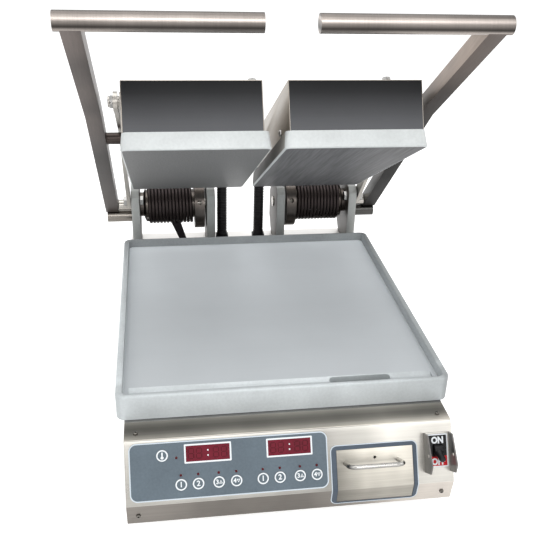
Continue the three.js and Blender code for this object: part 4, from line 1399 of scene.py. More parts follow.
@dataclass
class Cabinet:
    """The folded base: shell, front sheet, pan, feet, screws and the lead's gland."""

    shop: Workshop
    switch: Box = (152.4, 167.0, 18.3, 46.9)
    window_half: Pair = (22.25, 7.5)
    cells: tuple[int, int] = (25, 18)
    fold_edge: float = 0.5
    screw_x: float = 165.5
    screw_rise: float = 0.3
    ledge_y: float = -23.5
    lip_row: float = 15.3
    foot_inset: float = 38.0
    foot_front: float = 20.0

    def build(self) -> None:
        """Builds the cabinet's pieces."""
        self.front_sheet()
        # The deck's top takes a paler copy of the deck sheet, which is painted light and shade.
        self.shop.carry(
            "base_shell", [DECK_STEEL, DECK_TOP_PAINTED_LIGHT], 0.5, [],
            [(1, lambda middle, normal: normal.z > 0.9 and middle.z > LAYOUT.deck - 0.5)],
        )
        self.shop.carry("bottom_pan", DECK_STEEL, 0.4)
        self.shop.carry("mains_inlet_gland", PLASTIC, 0.6)
        self.feet()
        self.screws()

    def front_sheet(self) -> None:
        """The folded sheet: a grid of x by distance down the profile, without its openings."""
        distances, _, _ = LINE.stations()
        half_x, half_row = self.window_half
        openings = [LINE.drawer, self.switch] + [
            (x - half_x, x + half_x, LINE.window_row - half_row, LINE.window_row + half_row)
            for x in LINE.windows
        ]
        half = LAYOUT.half_base
        across, down = self.cells
        columns = np.unique(np.concatenate(
            [np.linspace(-half, half, across), *(np.array(box[:2]) for box in openings)]
        ))
        rows = np.unique(np.concatenate([
            distances, np.linspace(LINE.start, LINE.end, down),
            *(np.array(box[2:]) for box in openings),
        ]))
        grid = LINE.surface(np.stack(np.meshgrid(columns, rows), axis=-1), 0.0)
        x = (columns[:-1] + columns[1:])[None, :] / 2
        row = (rows[:-1] + rows[1:])[:, None] / 2
        keep = np.ones((len(rows) - 1, len(columns) - 1), bool)
        for left, right, top, bottom in openings:
            keep &= ~((x > left) & (x < right) & (row > top) & (row < bottom))
        piece = self.shop.mesh_object("front_panel_skin", Shape().patch(grid, keep), closed=False)
        wall = piece.modifiers.new("sheet", "SOLIDIFY")
        wall.thickness = LAYOUT.sheet * MM
        wall.offset = -1.0
        wall.use_even_offset = True
        self.shop.bevel(piece, 0.35, 2)
        # The ledge and the lip take darker copies of the sheet's finish, which are painted shade.
        middles = np.broadcast_to(row, keep.shape)[keep]
        on_lip = middles > LINE.slope_length + self.fold_edge
        number = np.where(middles < -self.fold_edge, 1, np.where(on_lip, 2, 0))
        piece.data.polygons.foreach_set("material_index", number.astype(np.int32))
        self.shop.dress(piece, [STAINLESS, LEDGE_STAIN_AND_SHADE, LIP_SHADED_STEEL], "base", ["front_panel"])

    def feet(self) -> None:
        """Four rubber feet, turned from one profile with a hollow under each."""
        profile = [
            (0.0, 3.0), (7.0, 3.0), (9.0, 0.6), (10.5, 0.0), (14.0, 0.0), (15.6, 0.8), (16.2, 2.4),
            (17.4, 14.0), (18.4, 22.5), (18.9, 24.0), (18.2, 24.7), (0.0, 24.7),
        ]
        back = LAYOUT.back - self.foot_inset
        for side in Side:
            for label, y in (("front", self.foot_front), ("back", back)):
                place = Place((side.value * (LAYOUT.half_base - self.foot_inset), y, 0.0))
                node = f"{side.label}_{label}_foot"
                shape = Shape().loft(place.points(turned(profile)))
                self.shop.build(f"{node}_rubber", shape, RUBBER, "base", [node])

    def screws(self) -> None:
        """The four screws of the front sheet."""
        for side in Side:
            x = side.value * self.screw_x
            ledge = Place((x, self.ledge_y, LAYOUT.deck + self.screw_rise))
            lip = LINE.lip_place().shifted(x, -self.lip_row, self.screw_rise)
            for label, place in (("ledge", ledge), ("lip", lip)):
                node = f"{side.label}_{label}_screw"
                shape = PANEL_SCREW.shape(place)
                self.shop.build(f"{node}_steel", shape, SCREW_STEEL, "base", [node])


@dataclass
class ControlPanel:
    """The printed film with its displays, lamps and membrane keys.

    Pairs of heights are those of the underside and the top of a print, above the film.
    """

    shop: Workshop
    film: Box = (-173.0, 37.0, 3.2, 63.6)
    corner: float = 8.0
    top: float = 1.5
    edge: float = 1.25
    edge_rise: float = 0.1
    window_size: Pair = (49.5, 20.0)
    window_rise: float = 0.08
    window_corner: float = 0.9
    frame: float = 1.7
    frame_rise: float = 0.16
    dot_aside: Pair = (-0.6, 0.8)
    dot_half: float = 0.8
    dot_gap: float = 2.7
    dot_rise: Pair = (0.05, 0.16)
    digit: Pair = (5.6, 10.6)
    digit_rise: Pair = (0.03, 0.1)
    digit_places: tuple[float, ...] = (-17.6, -9.2, 8.6, 17.0)
    stroke: float = 1.3
    stroke_gap: float = 0.5
    key_radius: float = 6.0
    key_top: float = 1.9
    key_row: float = 48.5
    key_print: float = 0.07
    left_keys: tuple[float, ...] = (-120.0, -102.0, -80.5, -62.0)
    right_keys: tuple[float, ...] = (-33.8, -15.6, 6.1, 24.4)
    number_size: float = 7.7
    number_weight: float = 0.2
    arrow_number: Pair = (6.4, -1.75)
    arrow_x: float = 1.95
    heat_key: Pair = (-138.6, 17.2)
    heat_lamp: Pair = (-124.0, 20.3)
    lamp_row: float = 38.7
    lamp_radius: float = 1.3

    def build(self) -> None:
        """Builds the panel's pieces."""
        self.shop.carry("control_overlay", FILM, 0.25)
        self.shop.carry("control_board", BOARD, 0.3)
        outer = box_loop(self.film, self.corner, 10)
        inner = box_loop(inset(self.film, self.edge), self.corner - self.edge, 10)
        border = band(outer, inner, self.top, self.top + self.edge_rise, on_slope)
        self.shop.build("overlay_border", border, BORDER, "base")
        self.displays()
        self.lamps()
        for number, (left, right) in enumerate(zip(self.left_keys, self.right_keys)):
            self.numbered_key("left", number, left)
            self.numbered_key("right", number, right)
        self.temperature_key()

    def displays(self) -> None:
        """Two dark red windows, each with a white frame and the two dots of its clock."""
        half_x, half_row = (size / 2 for size in self.window_size)
        middle, top = LINE.window_row, self.top
        low, high = self.dot_rise
        for label, x in zip(("left", "right"), LINE.windows):
            box = (x - half_x, x + half_x, middle - half_row, middle + half_row)
            inner = box_loop(inset(box, self.frame), 0.05)
            window = pad(inner, top, top + self.window_rise, on_slope)
            self.shop.build(f"{label}_display_window", window, WINDOW, "base")
            outer = box_loop(box, self.window_corner)
            shape = band(outer, inner, top, top + self.frame_rise, on_slope)
            for row in (middle - self.dot_gap, middle + self.dot_gap):
                sides = (x + self.dot_aside[0], x + self.dot_aside[1])
                dot = rounded_loop(sides, (row - self.dot_half, row + self.dot_half), 0.3, 3)
                shape.join(pad(dot, top + low, top + high, on_slope))
            self.shop.build(f"{label}_display_frame", shape, PRINT, "base")
            self.shop.build(f"{label}_display_digits", self._digits(x), SEGMENT, "base")

    def _digits(self, x: float) -> Shape:
        """The unlit segments of four digits, three bars across and four upright in each.

        Args:
            x: Middle of the window, across.

        Returns:
            The shape.
        """
        half_x, half_row = self.digit[0] / 2, self.digit[1] / 2
        long, thin = half_x - self.stroke_gap, self.stroke / 2
        bars = [(0.0, row, long, thin) for row in (-half_row, 0.0, half_row)]
        bars += [
            (side * half_x, row, thin, half_row / 2 - self.stroke_gap)
            for side in (-1.0, 1.0) for row in (-half_row / 2, half_row / 2)
        ]
        low, high = (self.top + rise for rise in self.digit_rise)
        shape = Shape()
        for aside in self.digit_places:
            for offset, row, wide, tall in bars:
                across, down = x + aside + offset, LINE.window_row + row
                box = (across - wide, across + wide, down - tall, down + tall)
                shape.join(pad(box_loop(box, 0.35, 2), low, high, on_slope))
        return shape

    def lamps(self) -> None:
        """Nine round lamps, turned from a domed profile."""
        radius, top = self.lamp_radius, self.top + 0.12
        profile = [(radius, top - 0.5), (radius, top), (radius * 0.85, top + 0.22),
                   (radius * 0.5, top + 0.38), (0.0, top + 0.44)]
        shape = Shape()
        spots = [(x, self.lamp_row) for x in (*self.left_keys, *self.right_keys)]
        for x, row in (*spots, self.heat_lamp):
            shape.loft(SLOPE.shifted(x, -row, 0.0).points(turned(profile, 20)))
        self.shop.build("indicator_lamps", shape, LAMP, "base")

    def _cap(self, node: str, x: float, row: float) -> Place:
        """Builds the round cap of a key.

        Args:
            node: The key's node.
            x: Its middle, across.
            row: Its middle, down the slope.

        Returns:
            The middle of its face.
        """
        radius, top = self.key_radius, self.key_top
        profile = [(0.0, top - 1.1), (radius - 0.1, top - 1.1), (radius, top - 1.0),
                   (radius, top - 0.2), (radius - 0.2, top - 0.04), (radius - 0.5, top), (0.0, top)]
        middle = SLOPE.shifted(x, -row, 0.0)
        shape = Shape().loft(middle.points(turned(profile, 48)))
        self.shop.build(f"{node}_cap", shape, KEY, node, [node])
        return middle.shifted(0.0, 0.0, top)

    def _ring(self, face: Place) -> Shape:
        """The white ring at the edge of a key."""
        outer, inner = circle(self.key_radius - 0.02, 48), circle(self.key_radius - 1.4, 48)
        return band(outer, inner, 0.0, self.key_print, face.raised)

    def numbered_key(self, side: str, number: int, x: float) -> None:
        """A key with its ring and number, and on the last two an arrow up or down.

        Args:
            side: Which set of keys.
            number: Place in the set, from 0.
            x: Its middle.
        """
        node = f"{side}_key_{number + 1}"
        face = self._cap(node, x, self.key_row)
        shape = self._ring(face)
        size, aside = self.number_size, 0.0
        if number >= 2:
            up = 1.0 if number == 2 else -1.0
            outline = np.array([(-2.0, -1.7), (2.0, -1.7), (0.0, 2.1)]) * np.array([1.0, up])
            inner = outline * 0.46 - np.array([0.0, 0.15 * up])
            corner = face.shifted(self.arrow_x, 0.0, 0.0)
            shape.join(band(outline, inner, 0.0, self.key_print, corner.raised))
            size, aside = self.arrow_number
        self.shop.build(f"{node}_ring", shape, PRINT, node)
        self.shop.lettering(
            f"{node}_number", str(number + 1), size, face.shifted(aside, 0.0, 0.0), PRINT, node,
            self.key_print, self.number_weight,
        )

    def temperature_key(self) -> None:
        """A key with its ring and the figure of a thermometer: a stem on a round bulb."""
        node = "temperature_key"
        face = self._cap(node, *self.heat_key)
        shape = self._ring(face)
        stem = rounded_loop((-0.75, 0.75), (-1.2, 3.6), 0.7, 5)
        bulb = circle(1.6, 28) + np.array([0.0, -2.1])
        for loop in (stem, bulb):
            shape.join(pad(loop, 0.0, self.key_print, face.raised))
        self.shop.build(f"{node}_ring", shape, PRINT, node)


@dataclass
class DrawerUnit:
    """The grease drawer with its wire handle, its runner and the band printed round it."""

    shop: Workshop
    band_box: Box = (40.0, 137.2, 19.6, 89.4)
    band_low: float = 0.03
    band_rise: float = 0.5
    line_rise: float = 0.55
    corner: float = 7.0
    line: float = 1.0
    handle_x: Pair = (56.0, 115.0)
    handle_row: float = 39.6
    handle_out: float = 26.9
    handle_foot: float = 0.3
    wire: float = 2.4
    bend: float = 9.0
    tray_y: float = -20.0

    def build(self) -> None:
        """Builds the drawer's pieces."""
        self.shop.carry(
            "grease_drawer", [DRAWER_STEEL, DECK_STEEL], 0.35,
            [Softening(self._on_low_bend, 2.2, 4)],
            [(1, lambda middle, normal: normal.z < -0.9 or middle.y > self.tray_y)],
        )
        self.shop.carry("drawer_runner", DECK_STEEL, 0.3)
        self.handle()
        self.printed_band()

    @staticmethod
    def _on_low_bend(middle: Vector) -> bool:
        """True on the drawer's outer bend line."""
        y, z = LINE.low_bend
        return meets(middle.y, y) and meets(middle.z, z)

    def handle(self) -> None:
        """The wire handle: a round bar along a U in a plane square to the slope."""
        left, right = self.handle_x
        foot, out, y = self.handle_foot, self.handle_out, -self.handle_row
        corners = [(left, y, foot), (left, y, out), (right, y, out), (right, y, foot)]
        path = bent_path(corners, self.bend, 10)
        rings = SLOPE.points(swept(path, (0.0, 1.0, 0.0), self.wire, 18))
        self.shop.build(
            "drawer_handle_wire", Shape().loft(rings), WIRE_STEEL, "drawer", ["drawer_handle"]
        )

    def printed_band(self) -> None:
        """The printed band round the opening, which follows the sheet over its lower bend."""
        outer = box_loop(self.band_box, self.corner, 8, 88)
        middle = box_loop(inset(self.band_box, self.line), self.corner - self.line, 8, 88)
        inner = box_loop(LINE.drawer, 0.6, 8, 88)
        field = band(middle, inner, self.band_low, self.band_rise, LINE.surface)
        self.shop.build("drawer_band", field, BAND, "base")
        line = band(outer, middle, self.band_low, self.line_rise, LINE.surface)
        self.shop.build("drawer_band_line", line, BORDER, "base")


@dataclass
class SwitchUnit:
    """The power switch: its plate with ON and OFF, its lever and the ears beside them."""

    shop: Workshop
    plate: Box = (148.2, 171.2, 14.6, 50.6)
    plate_top: float = 2.8
    border: float = 1.3
    line_rise: float = 0.1
    red_top: float = 38.5
    red_rise: float = 0.06
    strip_rise: float = 0.05
    word_rows: tuple[tuple[str, float], ...] = (("ON", 21.6), ("OFF", 45.0))
    word_size: float = 8.6
    word_weight: float = 0.42
    word_tall: float = 1.12
    boot_half: float = 6.6
    lever_row: float = 32.6
    lever_out: float = 3.0
    lever_wide: float = 1.15
    hub_half: float = 5.0
    tilt: float = 28.0
    hole: Pair = (36.0, 15.0)
    hole_radius: float = 2.4
    web_half: float = 13.0

    @property
    def middle(self) -> float:
        """The plate's middle, across."""
        return (self.plate[0] + self.plate[1]) / 2

    def build(self) -> None:
        """Builds the switch's pieces."""
        self.shop.carry("power_switch", PLASTIC, 0.3)
        # The walls of the ears' holes take the bright sheet as a painted glint.
        self.shop.carry("switch_guard", [GUARD_STEEL, STAINLESS], 0.3, [], [(1, self._is_bright)])
        self.fields()
        self.lever()

    def _is_bright(self, middle: Vector, normal: Vector) -> bool:
        """True on the flat web between the ears and in the ears' holes, whose walls take the bright
        sheet as a painted glint.

        Args:
            middle: Middle of a face.
            normal: Its normal.

        Returns:
            Whether it lies there.
        """
        _, up, out = SLOPE.local(middle)
        in_hole = math.dist((-up, out), self.hole) < self.hole_radius and abs(normal.x) < 0.6
        between = abs(middle.x - self.middle) < self.web_half
        return in_hole or (between and normal.dot(Vector(SLOPE.out)) > 0.9)

    def fields(self) -> None:
        """The red field, the white line round the plate and the two words."""
        edge, top = self.border, self.plate_top
        left, right, _, bottom = inset(self.plate, edge)
        outer = box_loop(self.plate, 0.9, 5)
        inner = box_loop(inset(self.plate, edge), 0.4, 5)
        line = band(outer, inner, top, top + self.line_rise, on_slope)
        self.shop.build("switch_plate_line", line, PRINT, "base")
        boot = self.lever_row + self.boot_half
        red = box_loop((left, right, boot, bottom), 0.3, 3)
        shape = pad(red, top, top + self.red_rise, on_slope)
        reach = (self.plate[1] - self.plate[0]) / 2 - edge
        for side in Side:
            ends = sorted(self.middle + side.value * far for far in (self.boot_half, reach))
            strip = box_loop((*ends, self.red_top, boot), 0.05, 2)
            shape.join(pad(strip, top, top + self.strip_rise, on_slope))
        self.shop.build("switch_red_field", shape, RED_FIELD, "base")
        for word, row in self.word_rows:
            self.shop.lettering(
                f"switch_{word.lower()}", word, self.word_size,
                SLOPE.shifted(self.middle, -row, top + self.red_rise), PRINT, "base",
                self.line_rise, self.word_weight, self.word_tall,
            )

    def lever(self) -> None:
        """The toggle: a bat turned from a tapering profile, a little wider than deep, on a hub."""
        tilt = math.radians(self.tilt)
        pivot = SLOPE.shifted(self.middle, -self.lever_row, self.lever_out)
        up, out = np.array(pivot.up), np.array(pivot.out)
        axis = out * math.cos(tilt) - up * math.sin(tilt)
        square = up * math.cos(tilt) + out * math.sin(tilt)
        bat = Place(pivot.origin, (1.0, 0.0, 0.0), tuple(square), tuple(axis))
        profile = [(0.0, 0.5), (4.6, 1.0), (4.5, 5.2), (4.1, 6.6), (3.7, 8.5), (3.3, 11.0),
                   (3.1, 14.0), (3.15, 15.6), (2.9, 16.9), (2.2, 17.7), (1.1, 18.0), (0.0, 18.05)]
        rings = turned(profile, 32) * np.array([self.lever_wide, 1.0, 1.0])
        shape = Shape().loft(bat.points(rings))
        hub = Place(pivot.origin, tuple(square), tuple(axis), (1.0, 0.0, 0.0))
        half = self.hub_half
        drum = [(0.0, -half), (5.4, -half), (6.0, -half + 0.6), (6.0, half - 0.6), (5.4, half),
                (0.0, half)]
        shape.loft(hub.points(turned(drum, 36)))
        self.shop.build("switch_lever_bat", shape, PLASTIC, "switch_lever", ["switch_lever"])


@dataclass
class Griddle:
    """The griddle plate with its rim, tray, trough and drain slot, and its element."""

    shop: Workshop
    rim: float = 141.0
    floor: float = 129.3
    width: float = 372.0
    depth: float = 402.0
    corner: float = 10.5
    rounding: Pair = (0.3, 3.4)
    wall: float = 12.0
    back_wall: float = 9.0
    trough_back: float = 36.0

    def build(self) -> None:
        """Builds the griddle's pieces."""
        # The cooking floor takes painted light, and the casting and the tray's walls take painted
        # shade.
        self.shop.carry(
            "griddle_plate", [GRIDDLE_CAST, GRIDDLE_TOP, TRAY_WALL_SHADED], 0.5,
            [
                Softening(self._outer_rim, 3.0, 5, 0),
                Softening(self._inner_rim, 0.5, 2, 0),
                Softening(self._tray_foot, 2.6, 4, 0),
            ],
            [(1, self._is_floor), (2, self._is_wall)],
        )
        self.shop.carry("lower_element", HEATER, 0.0)

    def _outer_rim(self, middle: Vector) -> bool:
        """True on the outer top edge of the rim, which reaches further in at its corners.

        Args:
            middle: Middle of an edge.

        Returns:
            Whether it lies there.
        """
        far = min(self.width / 2 - abs(middle.x), middle.y, self.depth - middle.y)
        beside = abs(middle.x) > self.width / 2 - self.corner
        at_corner = beside and not self.corner < middle.y < self.depth - self.corner
        return meets(middle.z, self.rim) and far < self.rounding[at_corner]

    def _inner_rim(self, middle: Vector) -> bool:
        """True on the inner top edge of the rim."""
        return meets(middle.z, self.rim) and not self._outer_rim(middle)

    def _tray_foot(self, middle: Vector) -> bool:
        """True where the tray's walls meet its floor, behind the trough.

        Args:
            middle: Middle of an edge.

        Returns:
            Whether it lies there.
        """
        beside = abs(middle.x) > self.width / 2 - self.wall and middle.y > self.trough_back
        behind = middle.y > self.depth - self.back_wall
        return meets(middle.z, self.floor) and (beside or behind)

    def _is_floor(self, middle: Vector, normal: Vector) -> bool:
        """True on the cooking surface and the floor of the trough."""
        return normal.z > 0.9 and middle.z < self.floor + 1.0

    def _is_wall(self, middle: Vector, normal: Vector) -> bool:
        """True on the side walls and the back wall of the tray, which take a darker copy of the
        casting as painted shade.
        """
        inside = abs(middle.x) < self.width / 2 - 5.0 and self.wall < middle.y < self.depth - 2.0
        return abs(normal.z) < 0.4 and middle.z > self.floor - 4.0 and inside


# Hinges, arms and platens


@dataclass
class HingeUnit:
    """One side's ears with the shaft, hub, collar, spring and their fasteners.

    The spring lies between near and far, its distances from the grill's middle. A boss is the
    middle (y, z) and the radius of a round on the ears whose edges are not softened.
    """

    shop: Workshop
    side: Side
    radius: float = 27.7
    wire: float = 2.52
    near: float = 79.8
    far: float = 152.2
    turns: float = 13.0
    tail: float = 4.8
    start_angle: float = -150.0
    steps: int = 40
    hold: float = 4.0
    stay_foot: Pair = (-95.0, 110.3)
    stay_top: Pair = (-107.4, 145.2)
    stay_half: Pair = (5.0, 7.2)
    stay_y: float = 452.0
    stay_thick: float = 5.8
    ear_walls: tuple[float, ...] = (47.8, 60.5, 161.0, 173.7)
    peg_wall: float = 174.2
    bosses: tuple[Triple, ...] = (
        (*LAYOUT.hinge, 20.0), (439.0, 187.0, 8.0), (467.0, 151.6, 11.0),
    )

    def build(self) -> None:
        """Builds the hinge's pieces."""
        name = self.side.label
        # The right peg takes a darker copy of the peg's finish, and the ears' flat sides take a
        # dark copy of the casting, which is painted shade.
        peg = PEG_STEEL if self.side is Side.LEFT else SHADED_PEG_STEEL
        self.shop.carry(
            f"{name}_hinge_bracket", [EAR_CAST, EAR_SIDE_SHADED, peg], 0.0,
            [Softening(self._ear_edge, 1.3, 3)],
            [(1, lambda middle, normal: abs(normal.x) > 0.95 and middle.z > LAYOUT.deck + 1.0),
             (2, lambda middle, normal: abs(middle.x) > self.peg_wall)],
        )
        for part, finish, edge in (
            ("link_bolt", BOLT_STEEL, 0.4), ("spring_hub", HUB_STEEL, 0.5),
            ("pivot_shaft", SHAFT_STEEL, 0.6), ("winding_collar", COLLAR_STEEL, 0.7),
        ):
            self.shop.carry(f"{name}_{part}", finish, edge)
        if self.side is Side.LEFT:
            self.stay()
        self.spring()

    def stay(self) -> None:
        """The flat bar under the left spring, which widens a little towards its top.

        Its rings are rounded rectangles whose middle and half width go evenly from foot to top.
        """
        share = np.linspace(0, 1, 5)[:, None]
        thick = self.stay_thick / 2
        outline = rounded_loop((-1.0, 1.0), (-thick, thick), 0.5, 3)
        foot, top = self.stay_foot, self.stay_top
        narrow, wide = self.stay_half
        half = narrow + share * (wide - narrow)
        x = foot[0] + share * (top[0] - foot[0]) + half * outline[:, 0]
        y, z = self.stay_y + outline[:, 1], foot[1] + share * (top[1] - foot[1])
        rings = np.stack(np.broadcast_arrays(x, y, z), axis=2)
        self.shop.build(
            "left_spring_stay_bar", Shape().loft(rings), STAY_STEEL, "base", ["left_spring_stay"]
        )

    def _ear_edge(self, middle: Vector) -> bool:
        """True on the long outlines of the ears above the deck, away from their bosses.

        Args:
            middle: Middle of an edge.

        Returns:
            Whether it lies there.
        """
        on_wall = meets(abs(middle.x), *self.ear_walls) and middle.z > LAYOUT.deck - 2.0
        return on_wall and all(
            math.dist((middle.y, middle.z), (y, z)) > radius for y, z, radius in self.bosses
        )

    def spring(self) -> None:
        """The torsion spring: a round wire on a helix about the shaft, with straight tails.

        The centre is at the hinge plus the coil's radius times (-sin a, cos a) in (y, z), and
        its x grows evenly with the angle a. The tails leave along (-cos a, -sin a).
        """
        count = int(self.turns * self.steps) + 1
        share = np.linspace(0, 1, count)
        angle = math.radians(self.start_angle) - share * self.turns * 2 * np.pi
        x = self.near + self.wire + share * (self.far - self.near - 2 * self.wire)
        lead = np.array([1.0, 0.5])
        slide = np.concatenate([lead * self.tail, np.zeros(count), -lead[::-1] * self.tail])
        angle = np.concatenate([np.full(2, angle[0]), angle, np.full(2, angle[-1])])
        x = np.concatenate([np.full(2, x[0]), x, np.full(2, x[-1])])
        radial = np.stack([np.zeros_like(angle), -np.sin(angle), np.cos(angle)], axis=1)
        along = np.stack([np.zeros_like(angle), -np.cos(angle), -np.sin(angle)], axis=1)
        centre = np.array([0.0, *LAYOUT.hinge]) + self.radius * radial + slide[:, None] * along
        centre[:, 0] = x
        section = circle(self.wire, 12)
        rings = centre[:, None, :] + section[None, :, :1] * radial[:, None, :]
        rings[..., 0] += section[None, :, 1]
        rings[..., 0] *= self.side.value
        name = self.side.label
        start = (self.side.value * (self.far - self.hold), *LAYOUT.hinge)
        end = (self.side.value * (self.near + self.hold), *LAYOUT.hinge)
        self.shop.flex(
            f"{name}_torsion_spring_wire", Shape().loft(rings), SPRING_STEEL,
            ("base", f"{name}_arm"), (start, end), f"{name}_torsion_spring",
        )


@dataclass
class ArmUnit:
    """One side's handle arm and levelling link.

    The tube's inner wall is at near, and its top is the middle (y, z) of the handle bar.
    """

    shop: Workshop
    side: Side
    near: float = 194.5
    square: float = 19.0
    top: Pair = (64.2, 512.6)
    bar_reach: float = 10.5
    bar_clear: float = 12.5
    stud_clear: float = 9.0
    link_stud: Triple = (180.2, -83.4, 27.24)

    def build(self) -> None:
        """Builds the arm's pieces."""
        name = self.side.label
        # The left tube takes a darker copy of the tube's finish, and the right tube's inner and
        # lower walls take shaded copies, which are painted shade.
        tube = SHADED_LEFT_ARM_STEEL if self.side is Side.LEFT else ARM_STEEL
        self.shop.carry(
            f"{name}_handle_arm", [tube, BAR_STEEL, ARM_INNER_SHADED, ARM_UNDER_SHADED], 0.5,
            [Softening(self._tube_edge, 2.0, 4)],
            [(1, self._on_bar), (2, self._is_inner), (3, self._is_under)],
        )
        self.shop.carry(f"{name}_levelling_link", LINK_STEEL, 0.6)
        self.nut()

    def _tube_edge(self, middle: Vector) -> bool:
        """True on the four long edges of the square tube.

        Args:
            middle: Middle of an edge.

        Returns:
            Whether it lies there.
        """
        on_wall = meets(abs(middle.x), self.near, self.near + self.square)
        off_bar = math.dist((middle.y, middle.z), self.top) > self.bar_clear
        off_stud = math.dist((middle.y, middle.z), LAYOUT.pivot) > self.stud_clear
        return on_wall and off_bar and off_stud

    def _on_bar(self, middle: Vector, _: Vector) -> bool:
        """True on the round handle bar."""
        along = math.dist((middle.y, middle.z), self.top) < self.bar_reach
        return along and abs(middle.x) < self.near + 0.1

    def _is_inner(self, middle: Vector, normal: Vector) -> bool:
        """True on the wall of the right tube that faces the platens, which takes a shaded copy of
        its finish.
        """
        on_wall = abs(abs(middle.x) - self.near) < 2.5
        return self.side is Side.RIGHT and normal.x < -0.7 and on_wall

    def _is_under(self, middle: Vector, normal: Vector) -> bool:
        """True on the wall of the right tube that faces down and to the front, which takes a shaded
        copy of its finish.
        """
        on_tube = abs(middle.x) > self.near + 0.1 and abs(normal.x) < 0.7
        return self.side is Side.RIGHT and normal.z < -0.3 and on_tube

    def nut(self) -> None:
        """The nut that keeps the link on the stud of the platen's bracket."""
        name, sign = self.side.label, self.side.value
        x, back, high = self.link_stud
        stud = LAYOUT.platen_place().shifted(sign * x, back, high)
        place = Place(stud.origin, stud.up, stud.out, (float(sign), 0.0, 0.0))
        self.shop.build(f"{name}_link_nut", LINK_NUT.shape(place), BOLT_STEEL, f"{name}_platen")


